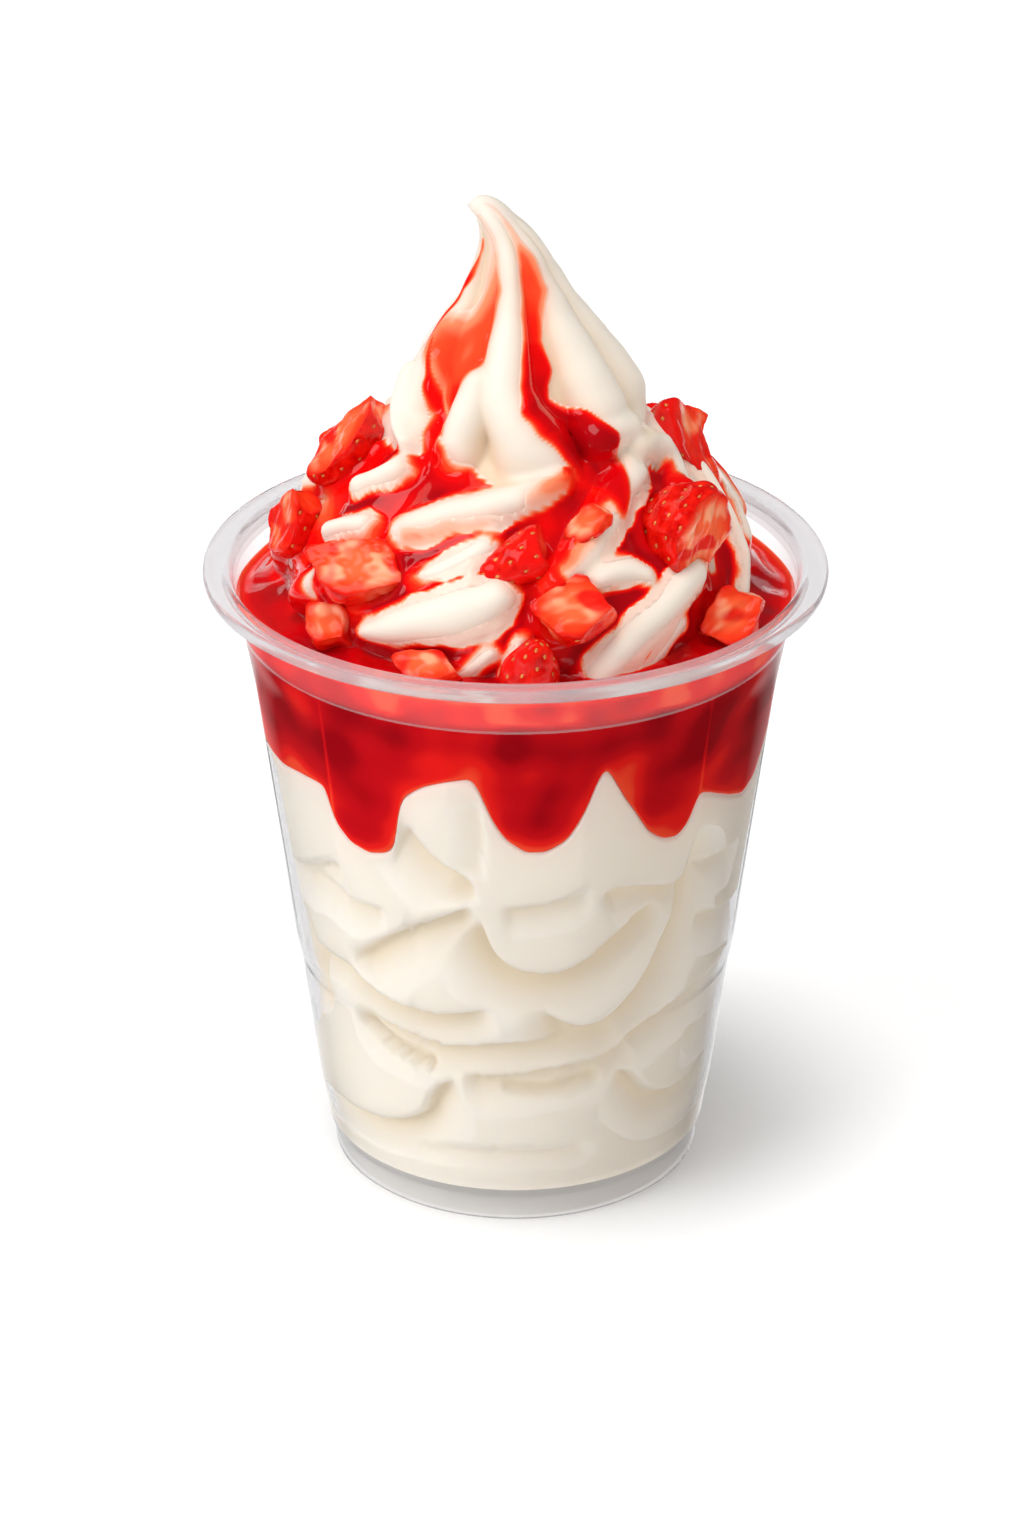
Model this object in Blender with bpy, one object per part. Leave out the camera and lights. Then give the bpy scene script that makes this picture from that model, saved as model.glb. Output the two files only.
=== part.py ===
"""Sundae cup: a clear fluted cup filled with folded soft serve that rises to a twisted, hooked peak, with a
pool of strawberry sauce that runs down inside the wall in rounded drips, and cut strawberries set into the mound.

Metres, +Z up. The origin is the centre of the foot on the table. The front of the cup faces -Y, and angles are
degrees from the front, positive towards +X.
"""

import bmesh
import bpy
import numpy as np
from mathutils import Matrix, Vector

MM = 0.001  # sizes below are millimetres, written out in metres

# The grid: every shell has this many columns, and each panel of the cup takes a whole number of them.
COLUMNS = 60
PANELS = 12

# Cup
CUP_HEIGHT = 96.6
LIP_RADIUS = 46.0
LIP_INNER_RADIUS = 43.0
LIP_THICKNESS = 1.6
LIP_ROUND = 0.5  # how much the lip's edges are rounded
FOOT_RADIUS = 27.4
FOOT_INNER_RADIUS = 25.4
FLOOR_TOP = 5.2
FLOOR_THICKNESS = 1.0
FLOOR_ROUND = 1.2  # radius of the corner between the floor and the wall, inside
WALL = 0.8
PANEL_DEPTH = 0.6
PANEL_BOTTOM = 36.5
PANEL_FULL = 80.0  # from here up the panels have their full depth
PANEL_TOP = 87.2
# Outside of the wall from the foot to the collar: height, radius.
WALL_OUTSIDE = (
    (0.0, 27.4), (0.5, 27.8), (4.4, 28.0), (5.2, 28.7), (9.0, 29.3), (11.5, 29.8), (13.2, 30.1),
    (33.0, 32.6), (34.6, 33.0), (36.5, 33.4), (50.0, 35.2), (64.0, 37.1), (77.0, 38.85), (84.0, 39.8),
    (87.6, 40.3), (88.6, 40.9), (94.6, 42.3),
)  # fmt: skip

# Heights of the rows on the outside and the inside of the wall.
OUTSIDE_HEIGHTS = (0.5, 4.4, 5.2, 13.2, 33.0, 36.5, 80.0, 84.6, 87.6, 88.6, 94.6)
INSIDE_HEIGHTS = (7.2, 13.2, 33.0, 36.5, 80.0, 84.6, 87.6, 88.6, 94.6)

GAP = 0.3  # between a piece and its neighbours
FILL_GAP = 0.5  # between the wall, the sauce and the soft serve, whose rows lie at different heights

# Outline of the swirl above the cup: height, radius, and how far its centre leans towards +X.
SWIRL = (
    (88.0, 34.6, 0.0), (92.0, 35.6, 0.0), (96.0, 35.4, 0.0), (101.0, 34.4, 0.0), (107.0, 31.0, 0.0),
    (111.5, 27.0, 0.2), (115.0, 23.5, 0.3), (118.0, 20.4, 0.4), (121.8, 18.3, 0.6), (124.6, 17.6, 1.2),
    (126.5, 16.8, 1.3), (128.4, 15.6, 1.2), (130.2, 14.6, 0.9), (132.1, 13.2, 0.8), (133.9, 11.9, 0.7),
    (135.8, 10.5, 0.5), (137.6, 9.0, 0.5), (139.5, 7.9, 0.3), (141.3, 6.95, 0.1), (143.1, 6.0, -0.2),
    (145.0, 5.2, -0.4), (146.8, 4.35, -0.8), (148.6, 3.6, -1.6), (150.4, 2.95, -2.9), (152.2, 2.1, -4.4),
    (153.1, 1.1, -5.2),
)  # fmt: skip
TIP = (-5.5, 0.0, 153.4)
SWIRL_FOOT, PEAK_FOOT, SWIRL_TOP = 90.6, 119.0, 152.4
MOUND_ROWS, PEAK_ROWS, WALL_ROWS = 17, 13, 14
CREAM_FOOT = 7.6  # height where the soft serve first meets the wall
MOUND_RIDGE = 3.4  # height of a ridge on the mound
PEAK_RIDGE_SHARE = 0.18  # height of a ridge on the peak, as a share of the radius there

# Ridges of the mound, each a path of (degrees, height) with its half-width. They rise counter-clockwise.
MOUND_RIDGES = (
    (3.4, ((-71.4, 114.2), (-61.4, 115.8), (-51.3, 117.3), (-40.7, 119.0))),
    (3.2, ((-66.0, 108.0), (-57.1, 109.7), (-50.7, 111.6), (-44.0, 114.0))),
    (3.2, ((-38.4, 111.2), (-30.1, 113.0), (-17.4, 114.8), (-3.2, 116.2), (16.7, 117.6))),
    (3.2, ((-27.0, 105.2), (-17.3, 108.5), (-8.0, 111.0))),
    (3.6, ((-37.6, 98.1), (-28.5, 100.5), (-18.9, 102.7), (-9.3, 104.6), (-3.1, 106.0))),
    (2.6, ((18.0, 104.9), (26.3, 106.7), (33.0, 108.2))),
    (3.0, ((15.3, 109.1), (24.9, 110.8), (37.9, 113.8), (52.9, 116.5), (66.5, 118.0))),
    (3.3, ((20.5, 94.0), (26.9, 96.7), (35.8, 99.8), (45.3, 102.4), (53.0, 104.0))),
    (3.3, ((66.0, 93.0), (77.0, 97.5), (88.0, 101.4), (101.0, 106.8), (118.0, 111.0))),
    (3.0, ((29.2, 90.4), (36.0, 93.2), (43.0, 95.4))),
    (2.8, ((-24.0, 91.6), (-15.0, 94.7), (-8.0, 97.4))),
    (3.0, ((-66.0, 97.0), (-60.0, 100.5), (-55.0, 104.0))),
    (3.4, ((70.0, 112.6), (82.0, 115.6), (96.0, 118.0))),
)
# Behind, the same ridges go on by rule: one every BACK_STEP degrees, rising BACK_RISE millimetres a degree.
BACK_FROM, BACK_TO, BACK_STEP, BACK_RISE = 98.0, 288.0, 24.0, 0.21
BACK_LOW, BACK_HIGH = 92.0, 117.0
BACK_HALF_WIDTH = 3.4

# Ridges of the peak: half-width as a share of the radius, and a path of (degrees, height) from the top down.
PEAK_RIDGES = (
    (0.27, ((-30.0, 150.0), (-26.0, 146.0), (-23.0, 142.0), (-18.0, 137.5), (-14.0, 133.0), (-11.0, 129.0),
            (-4.4, 125.6), (5.7, 122.2), (15.0, 119.2))),
    (0.36, ((38.0, 149.0), (45.0, 144.0), (50.0, 139.0), (50.0, 134.8), (49.3, 131.0), (49.6, 127.7),
            (49.3, 123.8))),
    (0.34, ((80.0, 149.0), (82.0, 144.0), (84.0, 139.0), (85.0, 133.0), (86.0, 127.0), (87.0, 121.6))),
    (0.30, ((-95.0, 149.0), (-90.0, 144.0), (-88.0, 138.0), (-84.0, 133.0), (-80.0, 127.0), (-74.0, 121.0),
            (-60.0, 118.6))),
    (0.20, ((-30.0, 130.0), (-33.0, 126.5), (-34.0, 121.0))),
    (0.36, ((122.0, 149.0), (124.0, 140.0), (128.0, 130.0), (134.0, 120.5))),
    (0.38, ((165.0, 149.0), (168.0, 140.0), (172.0, 130.0), (180.0, 120.5))),
    (0.38, ((208.0, 149.0), (212.0, 140.0), (218.0, 130.0), (228.0, 120.5))),
    (0.34, ((246.0, 149.0), (250.0, 140.0), (256.0, 130.0), (266.0, 120.5))),
)  # fmt: skip

# Thick streams of sauce that stand proud of the peak: half-width and a path of (degrees, height).
STREAMS = (
    (1.9, ((-36.0, 144.4), (-38.0, 141.0), (-45.0, 136.9), (-52.0, 133.2), (-57.0, 128.8), (-54.0, 125.7),
           (-47.7, 122.3), (-40.3, 120.1), (-39.1, 117.1))),
    (1.9, ((17.0, 146.0), (17.0, 142.0), (14.0, 137.7), (12.0, 134.8), (12.0, 131.8), (5.0, 128.9),
           (6.0, 126.4), (16.8, 124.6), (32.1, 121.4), (41.2, 118.4))),
    (2.0, ((188.0, 138.0), (190.0, 132.0), (196.0, 126.0), (204.0, 121.0), (214.0, 117.5))),
)  # fmt: skip
STREAM_HEIGHT = 0.9

# Lower edge of the sauce on the wall in front: (degrees, height), a rounded drip in each panel.
DRIP_EDGE = (
    (-84.0, 79.5), (-78.3, 72.4), (-72.0, 71.2), (-66.1, 70.9), (-57.4, 72.2), (-50.0, 73.6), (-47.6, 69.6),
    (-45.3, 66.8), (-41.1, 64.3), (-35.9, 63.5), (-31.3, 64.4), (-28.5, 66.5), (-26.4, 71.5), (-24.4, 75.0),
    (-20.4, 77.3), (-14.9, 78.9), (-9.5, 79.6), (-8.0, 78.0), (-6.8, 75.3), (-4.7, 72.0), (-2.1, 69.3),
    (2.3, 67.2), (6.7, 67.2), (11.2, 68.9), (13.7, 71.5), (15.8, 74.7), (17.5, 78.5), (19.6, 80.8),
    (21.9, 78.1), (24.5, 75.0), (27.9, 71.7), (31.5, 68.0), (35.7, 66.0), (39.8, 65.6), (43.2, 68.5),
    (45.5, 71.6), (48.9, 70.8), (57.7, 68.1), (65.0, 66.3), (71.0, 67.6), (76.0, 74.0),
)  # fmt: skip
# The drips behind: middle in degrees, height of the rounded foot, height of the crest on the way to the next.
BACK_DRIPS = (
    (90.0, 66.8, 78.6), (120.0, 64.6, 79.4), (150.0, 69.4, 77.6), (180.0, 66.0, 79.8), (210.0, 71.2, 76.8),
    (240.0, 65.2, 78.4), (264.0, 70.4, 79.5),
)  # fmt: skip
BACK_DRIP_HALF = 14.5
SAUCE_LEVEL = 92.4
POOL_FOOT = 88.5  # height where the sheet of sauce on the wall has widened into the pool
POOL_RISE = 0.9  # how much higher the pool stands against the mound than at the wall
SAUCE_EDGE_THICKNESS = 1.0
SAUCE_THICKNESS = 2.6

# Folds of the soft serve against the wall: depth, half-width, and a path of (degrees, height).
FOLDS = (
    (1.6, 2.8, ((-26.5, 70.5), (-22.4, 67.0), (-17.9, 64.1), (-11.4, 61.9), (-9.7, 58.5), (-13.7, 55.4))),
    (1.9, 3.0, ((-43.1, 42.9), (-34.9, 47.8), (-26.2, 51.8), (-14.7, 55.3), (-8.8, 57.1))),
    (2.1, 3.0, ((-7.4, 56.5), (-8.5, 52.9), (-6.2, 48.8), (-1.4, 46.4), (5.5, 45.2), (13.4, 46.6),
                (18.3, 49.3), (24.1, 53.5), (29.0, 57.0), (34.2, 58.8))),
    (2.1, 3.0, ((-77.6, 46.4), (-58.2, 44.6), (-48.7, 41.5), (-34.2, 38.3), (-21.5, 36.8), (-11.7, 38.4),
                (-3.4, 40.3))),
    (2.1, 3.0, ((-50.5, 33.5), (-44.8, 30.9), (-36.8, 27.6), (-25.2, 27.0), (-10.3, 25.9), (9.4, 26.4),
                (25.5, 27.3), (32.5, 30.5), (42.8, 33.5), (52.7, 36.2), (70.0, 39.0))),
    (1.6, 2.8, ((-26.0, 30.9), (-12.1, 33.1), (-1.5, 34.3), (14.3, 34.8), (31.8, 33.9))),
    (1.9, 3.0, ((5.6, 40.9), (10.9, 37.0), (15.4, 34.7), (22.0, 35.1), (28.3, 38.7), (34.7, 43.2),
                (39.8, 49.3), (42.6, 54.2), (46.1, 59.7), (52.0, 66.0))),
    (2.6, 3.2, ((-2.6, 25.0), (7.4, 23.4), (15.3, 23.6), (22.1, 25.2))),
    (1.9, 3.0, ((-80.4, 10.5), (-58.2, 13.9), (-42.7, 14.7), (-33.5, 15.8), (-25.1, 19.6), (-18.0, 25.4))),
    (1.9, 2.8, ((33.7, 23.8), (40.3, 19.6), (48.6, 19.2), (60.3, 20.5), (66.0, 26.5), (76.0, 31.0))),
    (1.6, 2.8, ((15.6, 58.0), (25.5, 59.3), (39.4, 56.7), (51.4, 58.6), (68.0, 60.6))),
    (4.2, 5.0, ((-70.0, 42.0), (-68.0, 37.0), (-66.0, 33.0))),
)  # fmt: skip
# Behind, folds by rule: (first degree, height) of each, all rising to the right over FOLD_SPAN degrees.
BACK_FOLDS = ((84.0, 22.0), (96.0, 34.0), (110.0, 48.0), (128.0, 16.0), (140.0, 58.0), (150.0, 30.0),
              (176.0, 42.0), (188.0, 20.0), (204.0, 54.0), (216.0, 32.0), (232.0, 16.0))  # fmt: skip
FOLD_SPAN, FOLD_CLIMB = 46.0, 11.0

BED_SHARE = 1.9  # a piece's bed is cut this many gaps wider, so that its nearest face still has the gap

# Strawberry pieces: name, kind, middle, (length, width, thickness), the way the long side points, and the way
# the main cut face looks.
FRUIT = (
    ("strawberry_01", "wedge", (-23.8, 2.2, 113.4), (15.0, 9.0, 8.0), (0.62, 0.1, 0.78), (-0.7, -0.3, 0.62)),
    ("strawberry_02", "wedge", (-31.4, -3.4, 104.0), (10.5, 8.5, 6.5), (0.35, -0.2, 0.9), (-0.75, -0.5, 0.3)),
    ("strawberry_03", "slab", (-23.0, -20.2, 103.2), (14.5, 9.5, 8.0), (0.9, -0.42, 0.05), (-0.35, -0.6, 0.72)),
    ("strawberry_04", "slab", (-26.6, -22.0, 95.7), (7.2, 6.6, 5.6), (0.8, -0.5, -0.2), (-0.2, -0.7, 0.65)),
    ("strawberry_05", "tip", (-0.4, -27.6, 108.0), (11.5, 8.0, 7.5), (-0.86, -0.2, -0.35), (0.1, 0.9, 0.3)),
    ("strawberry_06", "slab", (8.2, -32.0, 102.4), (12.0, 9.0, 7.0), (0.95, 0.1, 0.2), (0.1, -0.72, 0.68)),
    ("strawberry_07", "tip", (2.4, -36.2, 96.4), (9.0, 8.0, 7.0), (0.2, -0.3, 0.9), (0.3, 0.9, 0.0)),
    ("strawberry_08", "wedge", (24.6, 3.0, 114.0), (13.5, 8.0, 7.0), (0.5, 0.0, -0.86), (0.8, -0.5, 0.5)),
    ("strawberry_09", "wedge", (24.4, -15.4, 108.6), (15.0, 13.0, 11.5), (-0.3, -0.25, -0.9), (0.72, -0.42, 0.5)),
    ("strawberry_10", "slab", (31.2, -18.4, 95.4), (10.0, 8.0, 6.6), (0.75, 0.3, 0.55), (0.3, -0.62, 0.72)),
    ("strawberry_11", "slab", (-12.6, -34.0, 95.2), (10.0, 6.0, 5.0), (0.95, -0.3, 0.05), (-0.1, -0.7, 0.7)),
    ("strawberry_12", "slab", (10.4, -24.6, 112.8), (7.5, 5.2, 4.5), (0.8, 0.1, 0.6), (-0.1, -0.8, 0.6)),
    ("strawberry_13", "wedge", (22.0, 24.6, 104.6), (14.0, 10.0, 8.0), (0.7, -0.5, 0.5), (0.4, 0.6, 0.7)),
    ("strawberry_14", "tip", (-1.0, 36.2, 98.0), (12.0, 10.0, 8.5), (-0.8, 0.2, -0.4), (0.5, 0.5, 0.7)),
    ("strawberry_15", "slab", (-22.0, 24.0, 105.6), (12.5, 9.0, 7.0), (0.8, 0.5, 0.2), (-0.3, 0.7, 0.65)),
)  # fmt: skip


def cleared_scene():
    """Removes every object that the new file came with."""
    for old in list(bpy.data.objects):
        bpy.data.objects.remove(old, do_unlink=True)


def material(name, colour, roughness, transmission=0.0):
    """One plain finish: base colour, roughness and how much light goes through."""
    made = bpy.data.materials.new(name)
    made.use_nodes = True
    shader = made.node_tree.nodes["Principled BSDF"]
    shader.inputs["Base Color"].default_value = (*colour, 1.0)
    shader.inputs["Roughness"].default_value = roughness
    shader.inputs["Transmission Weight"].default_value = transmission
    made.diffuse_color = (*colour, 1.0)
    return made


def eased(value, low, high):
    """0 below low, 1 above high, and a smooth step between."""
    share = np.clip((value - low) / (high - low), 0.0, 1.0)
    return share * share * (3.0 - 2.0 * share)


def wrapped(degrees):
    """The same angle between -180 and 180."""
    return (degrees + 180.0) % 360.0 - 180.0


def ring_angles():
    """Angle of each column, in degrees from the front; the ridges between panels fall on columns."""
    return 180.0 / PANELS + np.arange(COLUMNS) * 360.0 / COLUMNS


def ring(radius, height, lean=0.0):
    """One row of points: radius and height, each a number or one value a column."""
    turn = np.radians(ring_angles())
    radius = np.broadcast_to(radius, turn.shape)
    height = np.broadcast_to(height, turn.shape)
    return np.stack([radius * np.sin(turn) + lean, -radius * np.cos(turn), height], axis=1)


def grid_object(name, rows, finish, start=None, end=None):
    """A closed shell through rows of points, with a pole at each end, or a loop if it has none.

    Rows run so that the faces point out: up the outside of a body.
    """
    points = [tuple(point * MM) for row in rows for point in row]
    faces = []
    count = len(rows)
    for i in range(count if start is None else count - 1):
        low, high = i * COLUMNS, (i + 1) % count * COLUMNS
        for j in range(COLUMNS):
            k = (j + 1) % COLUMNS
            faces.append((low + j, low + k, high + k, high + j))
    if start is not None:
        first, last = len(points), len(points) + 1
        points += [tuple(np.array(start) * MM), tuple(np.array(end) * MM)]
        top = (count - 1) * COLUMNS
        for j in range(COLUMNS):
            k = (j + 1) % COLUMNS
            faces.append((first, k, j))
            faces.append((last, top + j, top + k))
    mesh = bpy.data.meshes.new(name)
    mesh.from_pydata(points, [], faces)
    for polygon in mesh.polygons:
        polygon.use_smooth = True
    mesh.materials.append(finish)
    made = bpy.data.objects.new(name, mesh)
    bpy.context.scene.collection.objects.link(made)
    return made


def panel_hollow(height):
    """How deep the cup's panels are pressed in at this height, for every column: arched at the top."""
    across = np.abs(wrapped(ring_angles() * PANELS) / 180.0)  # 1 at a ridge, 0 in the middle of a panel
    hollow = 1.0 - across**2
    top = PANEL_TOP - 5.0 * across**4
    fading = np.clip((height - PANEL_BOTTOM) / (PANEL_FULL - PANEL_BOTTOM), 0.0, 1.0)
    return PANEL_DEPTH * hollow * eased(top - height, 0.0, 5.0) * fading


def outside(height):
    """Outer radius of the wall at this height, for every column."""
    heights, radii = zip(*WALL_OUTSIDE)
    return np.interp(height, heights, radii) - panel_hollow(height)


def inside(height):
    """Inner radius of the wall at this height, for every column."""
    return outside(height) - WALL


def column_inside(heights):
    """Inner radius of the wall where every column has its own height, read off the cup's own facets."""
    heights = np.broadcast_to(heights, (COLUMNS,))
    rows = np.array([inside(z) for z in INSIDE_HEIGHTS])
    return np.array([np.interp(heights[j], INSIDE_HEIGHTS, rows[:, j]) for j in range(COLUMNS)])


def build_cup(finish):
    """The cup as one closed shell: foot, fluted wall, shoulder, collar, lip and floor."""
    lip_low = CUP_HEIGHT - LIP_THICKNESS
    under_floor = FLOOR_TOP - FLOOR_THICKNESS
    rows = [ring(FOOT_INNER_RADIUS, z) for z in (under_floor, 0.0)]
    rows.append(ring(FOOT_RADIUS, 0.0))
    rows += [ring(outside(z), z) for z in OUTSIDE_HEIGHTS]
    rows += [
        ring(LIP_RADIUS - LIP_ROUND, lip_low),
        ring(LIP_RADIUS, lip_low + LIP_ROUND),
        ring(LIP_RADIUS, CUP_HEIGHT - LIP_ROUND),
        ring(LIP_RADIUS - LIP_ROUND, CUP_HEIGHT),
        ring(LIP_INNER_RADIUS, CUP_HEIGHT),
    ]
    rows += [ring(inside(z), z) for z in reversed(INSIDE_HEIGHTS)]
    rows.append(ring(inside(FLOOR_TOP) - FLOOR_ROUND, FLOOR_TOP))
    return grid_object("cup", rows, finish, (0.0, 0.0, under_floor), (0.0, 0.0, FLOOR_TOP))


def swirl_radius(height):
    heights, radii, _ = zip(*SWIRL)
    return np.interp(height, heights, radii)


def swirl_lean(height):
    heights, _, leans = zip(*SWIRL)
    return np.interp(height, heights, leans)


def ridge_height(height):
    """How far a ridge stands above the hollow beside it, at this height."""
    share = eased(height, PEAK_FOOT - 4.0, PEAK_FOOT + 4.0)
    return MOUND_RIDGE * (1.0 - share) + PEAK_RIDGE_SHARE * swirl_radius(height) * share


def on_swirl(degrees, height, out=0.0):
    """The point of the swirl's outline at an angle and a height, moved out by a distance."""
    turn, radius = np.radians(degrees), swirl_radius(height) + out
    return np.stack(
        [radius * np.sin(turn) + swirl_lean(height), -radius * np.cos(turn), height + 0.0 * turn], axis=-1
    )


def path_on_swirl(path, count=16):
    """A (degrees, height) path as evenly read points on the swirl."""
    degrees, heights = (np.array(values) for values in zip(*path))
    at = np.linspace(0.0, len(path) - 1.0, count)
    index = np.arange(len(path))
    return on_swirl(np.interp(at, index, degrees), np.interp(at, index, heights))


def distance_to(points, path):
    """Distance from each point to a polyline."""
    start, step = path[:-1], path[1:] - path[:-1]
    reach = points[:, None, :] - start[None]
    length = np.maximum((step**2).sum(axis=1), 1e-9)
    share = np.clip((reach * step[None]).sum(axis=2) / length, 0.0, 1.0)
    near = reach - share[..., None] * step[None]
    return np.sqrt((near**2).sum(axis=2)).min(axis=1)


def back_ridges():
    """The ridges behind, by rule."""
    start = BACK_FROM - (BACK_HIGH - BACK_LOW) / BACK_RISE
    while start < BACK_TO:
        heights = np.linspace(BACK_LOW, BACK_HIGH, 12)
        degrees = start + (heights - BACK_LOW) / BACK_RISE
        kept = [(d, z) for d, z in zip(degrees, heights) if BACK_FROM <= d <= BACK_TO]
        if len(kept) > 2:
            yield BACK_HALF_WIDTH, tuple(kept)
        start += BACK_STEP


def swirl_relief(points):
    """How far each point of the swirl's hollow surface is pushed out by its ridges, as a share from 0 to 1."""
    relief = np.zeros(len(points))
    for half_width, path in (*MOUND_RIDGES, *back_ridges()):
        away = distance_to(points, path_on_swirl(path)) / half_width
        relief = np.maximum(relief, np.sqrt(np.clip(1.0 - away**2, 0.0, 1.0)))
    for share, path in PEAK_RIDGES:
        away = distance_to(points, path_on_swirl(path)) / (share * swirl_radius(points[:, 2]) + 0.3)
        relief = np.maximum(relief, np.sqrt(np.clip(1.0 - away**2, 0.0, 1.0)))
    return relief


def stream_relief(points):
    """Thickness of the sauce streams on the peak at each point."""
    thickness = np.zeros(len(points))
    for half_width, path in STREAMS:
        away = distance_to(points, path_on_swirl(path)) / half_width
        thickness = np.maximum(thickness, STREAM_HEIGHT * np.sqrt(np.clip(1.0 - away**2, 0.0, 1.0)))
    return thickness


def swirl_row(height):
    """One row of the swirl, with its ridges and streams pushed out square to its slope."""
    lean, rise = swirl_lean(height), ridge_height(height)
    outline = ring(swirl_radius(height), height, lean)
    slope = (swirl_radius(height + 0.5) - swirl_radius(height - 0.5)) / 1.0
    flat = outline - np.array([lean, 0.0, height])
    out = flat / np.linalg.norm(flat, axis=1, keepdims=True) + np.array([0.0, 0.0, -slope])
    out /= np.linalg.norm(out, axis=1, keepdims=True)
    push = (swirl_relief(outline) - 1.0) * rise + stream_relief(outline)
    return outline + out * push[:, None]


def drip_edge():
    """Height of the sauce's lower edge at every column."""
    degrees, heights = zip(*DRIP_EDGE)
    angles = wrapped(ring_angles())
    front = np.interp(angles, degrees, heights)
    back = np.full(COLUMNS, 76.8)
    for middle, foot, crest in BACK_DRIPS:
        across = np.abs(wrapped(angles - middle)) / BACK_DRIP_HALF
        back = np.where(across < 1.0, np.minimum(back + crest - 76.8, foot + (crest - foot) * across**2.6), back)
    return np.where((angles > degrees[0]) & (angles < degrees[-1]), front, back)


def fold_paths():
    yield from FOLDS
    for degrees, height in BACK_FOLDS:
        steps = np.linspace(0.0, 1.0, 6)
        yield 1.9, 3.0, tuple((degrees + FOLD_SPAN * s, height + FOLD_CLIMB * s**1.5) for s in steps)


def fold_depth(row):
    """How deep the folds are pressed in along a row of points against the wall."""
    depth = np.zeros(len(row))
    for deep, half_width, path in fold_paths():
        degrees, heights = (np.array(values) for values in zip(*path))
        radii = np.interp(heights, *zip(*WALL_OUTSIDE)) - WALL
        turn = np.radians(degrees)
        line = np.stack([radii * np.sin(turn), -radii * np.cos(turn), heights], axis=1)
        away = distance_to(row, line) / half_width
        depth = np.maximum(depth, deep * np.clip(1.0 - away**2, 0.0, 1.0) ** 1.5)
    return depth


def cream_rows():
    """Rows of the soft serve from its foot in the cup to the top of the peak."""
    edge = drip_edge()
    rows = [ring(inside(FLOOR_TOP) - 2.0 * FLOOR_ROUND, FLOOR_TOP + GAP)]
    for share in np.linspace(0.0, 1.0, WALL_ROWS):
        heights = CREAM_FOOT + (edge - 2.0 * GAP - CREAM_FOOT) * share
        on_wall = column_inside(heights) - FILL_GAP
        depth = fold_depth(ring(on_wall, heights)) * eased(edge - heights, 0.5, 5.0)
        rows.append(ring(on_wall - depth, heights))
    for share in (0.0, 0.14, 0.4, 0.75):
        heights = edge + GAP + (POOL_FOOT - edge - GAP) * share
        rows.append(ring(sauce_back(heights) - FILL_GAP, heights))
    rows += [swirl_row(z) for z in np.linspace(SWIRL_FOOT, PEAK_FOOT, MOUND_ROWS)]
    rows += [swirl_row(z) for z in np.linspace(PEAK_FOOT, SWIRL_TOP, PEAK_ROWS + 1)[1:]]
    return rows


def sauce_back(heights):
    """Radius of the sauce's inner face, where every column has its own height."""
    edge = drip_edge()
    deep = SAUCE_EDGE_THICKNESS + (SAUCE_THICKNESS - SAUCE_EDGE_THICKNESS) * eased(heights - edge, 0.5, 6.0)
    on_wall = column_inside(heights) - FILL_GAP - deep
    at_top = swirl_radius(SWIRL_FOOT) + 2.0 * GAP
    return on_wall + (at_top - on_wall) * eased(heights, 80.0, POOL_FOOT)


def build_sauce(finish):
    """The pool between the mound and the wall, and the drips below it, as one ring."""
    edge = drip_edge()
    rounding = SAUCE_EDGE_THICKNESS / 2.0
    rows = [ring(column_inside(edge) - FILL_GAP - rounding, edge)]
    low = edge + 0.7 * rounding
    panel_foot, *shoulder = [z for z in INSIDE_HEIGHTS if PANEL_FULL <= z < SAUCE_LEVEL]
    for share in (0.0, 0.12, 0.45, 1.0):
        heights = low + (panel_foot - low) * share
        rows.append(ring(column_inside(heights) - FILL_GAP, heights))
    rows += [ring(column_inside(z) - FILL_GAP, z) for z in (*shoulder, SAUCE_LEVEL - POOL_RISE)]
    wall_edge = column_inside(SAUCE_LEVEL) - FILL_GAP - POOL_RISE
    crown = swirl_crown() + FILL_GAP
    rows += [
        ring(wall_edge, SAUCE_LEVEL),
        ring((crown + wall_edge) / 2.0, SAUCE_LEVEL + POOL_RISE / 2.0),
        ring(crown, SAUCE_LEVEL + POOL_RISE),
        ring(crown, SWIRL_FOOT),
    ]
    for share in (0.85, 0.5, 0.15, 0.0):
        heights = low + (POOL_FOOT - low) * share
        rows.append(ring(sauce_back(heights), heights))
    return grid_object("strawberry_sauce", rows, finish)


def swirl_crown():
    """Largest radius of the mound between the foot of the pool and its level, at every column."""
    rows = [swirl_row(z) for z in np.linspace(POOL_FOOT, SAUCE_LEVEL + 2.0 * POOL_RISE, 5)]
    return np.max([np.hypot(row[:, 0], row[:, 1]) for row in rows], axis=0)


def build_cream(finish):
    """The soft serve as one body, from the floor of the cup to the hooked tip."""
    return grid_object("soft_serve", cream_rows(), finish, (0.0, 0.0, FLOOR_TOP + GAP), TIP)


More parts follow.
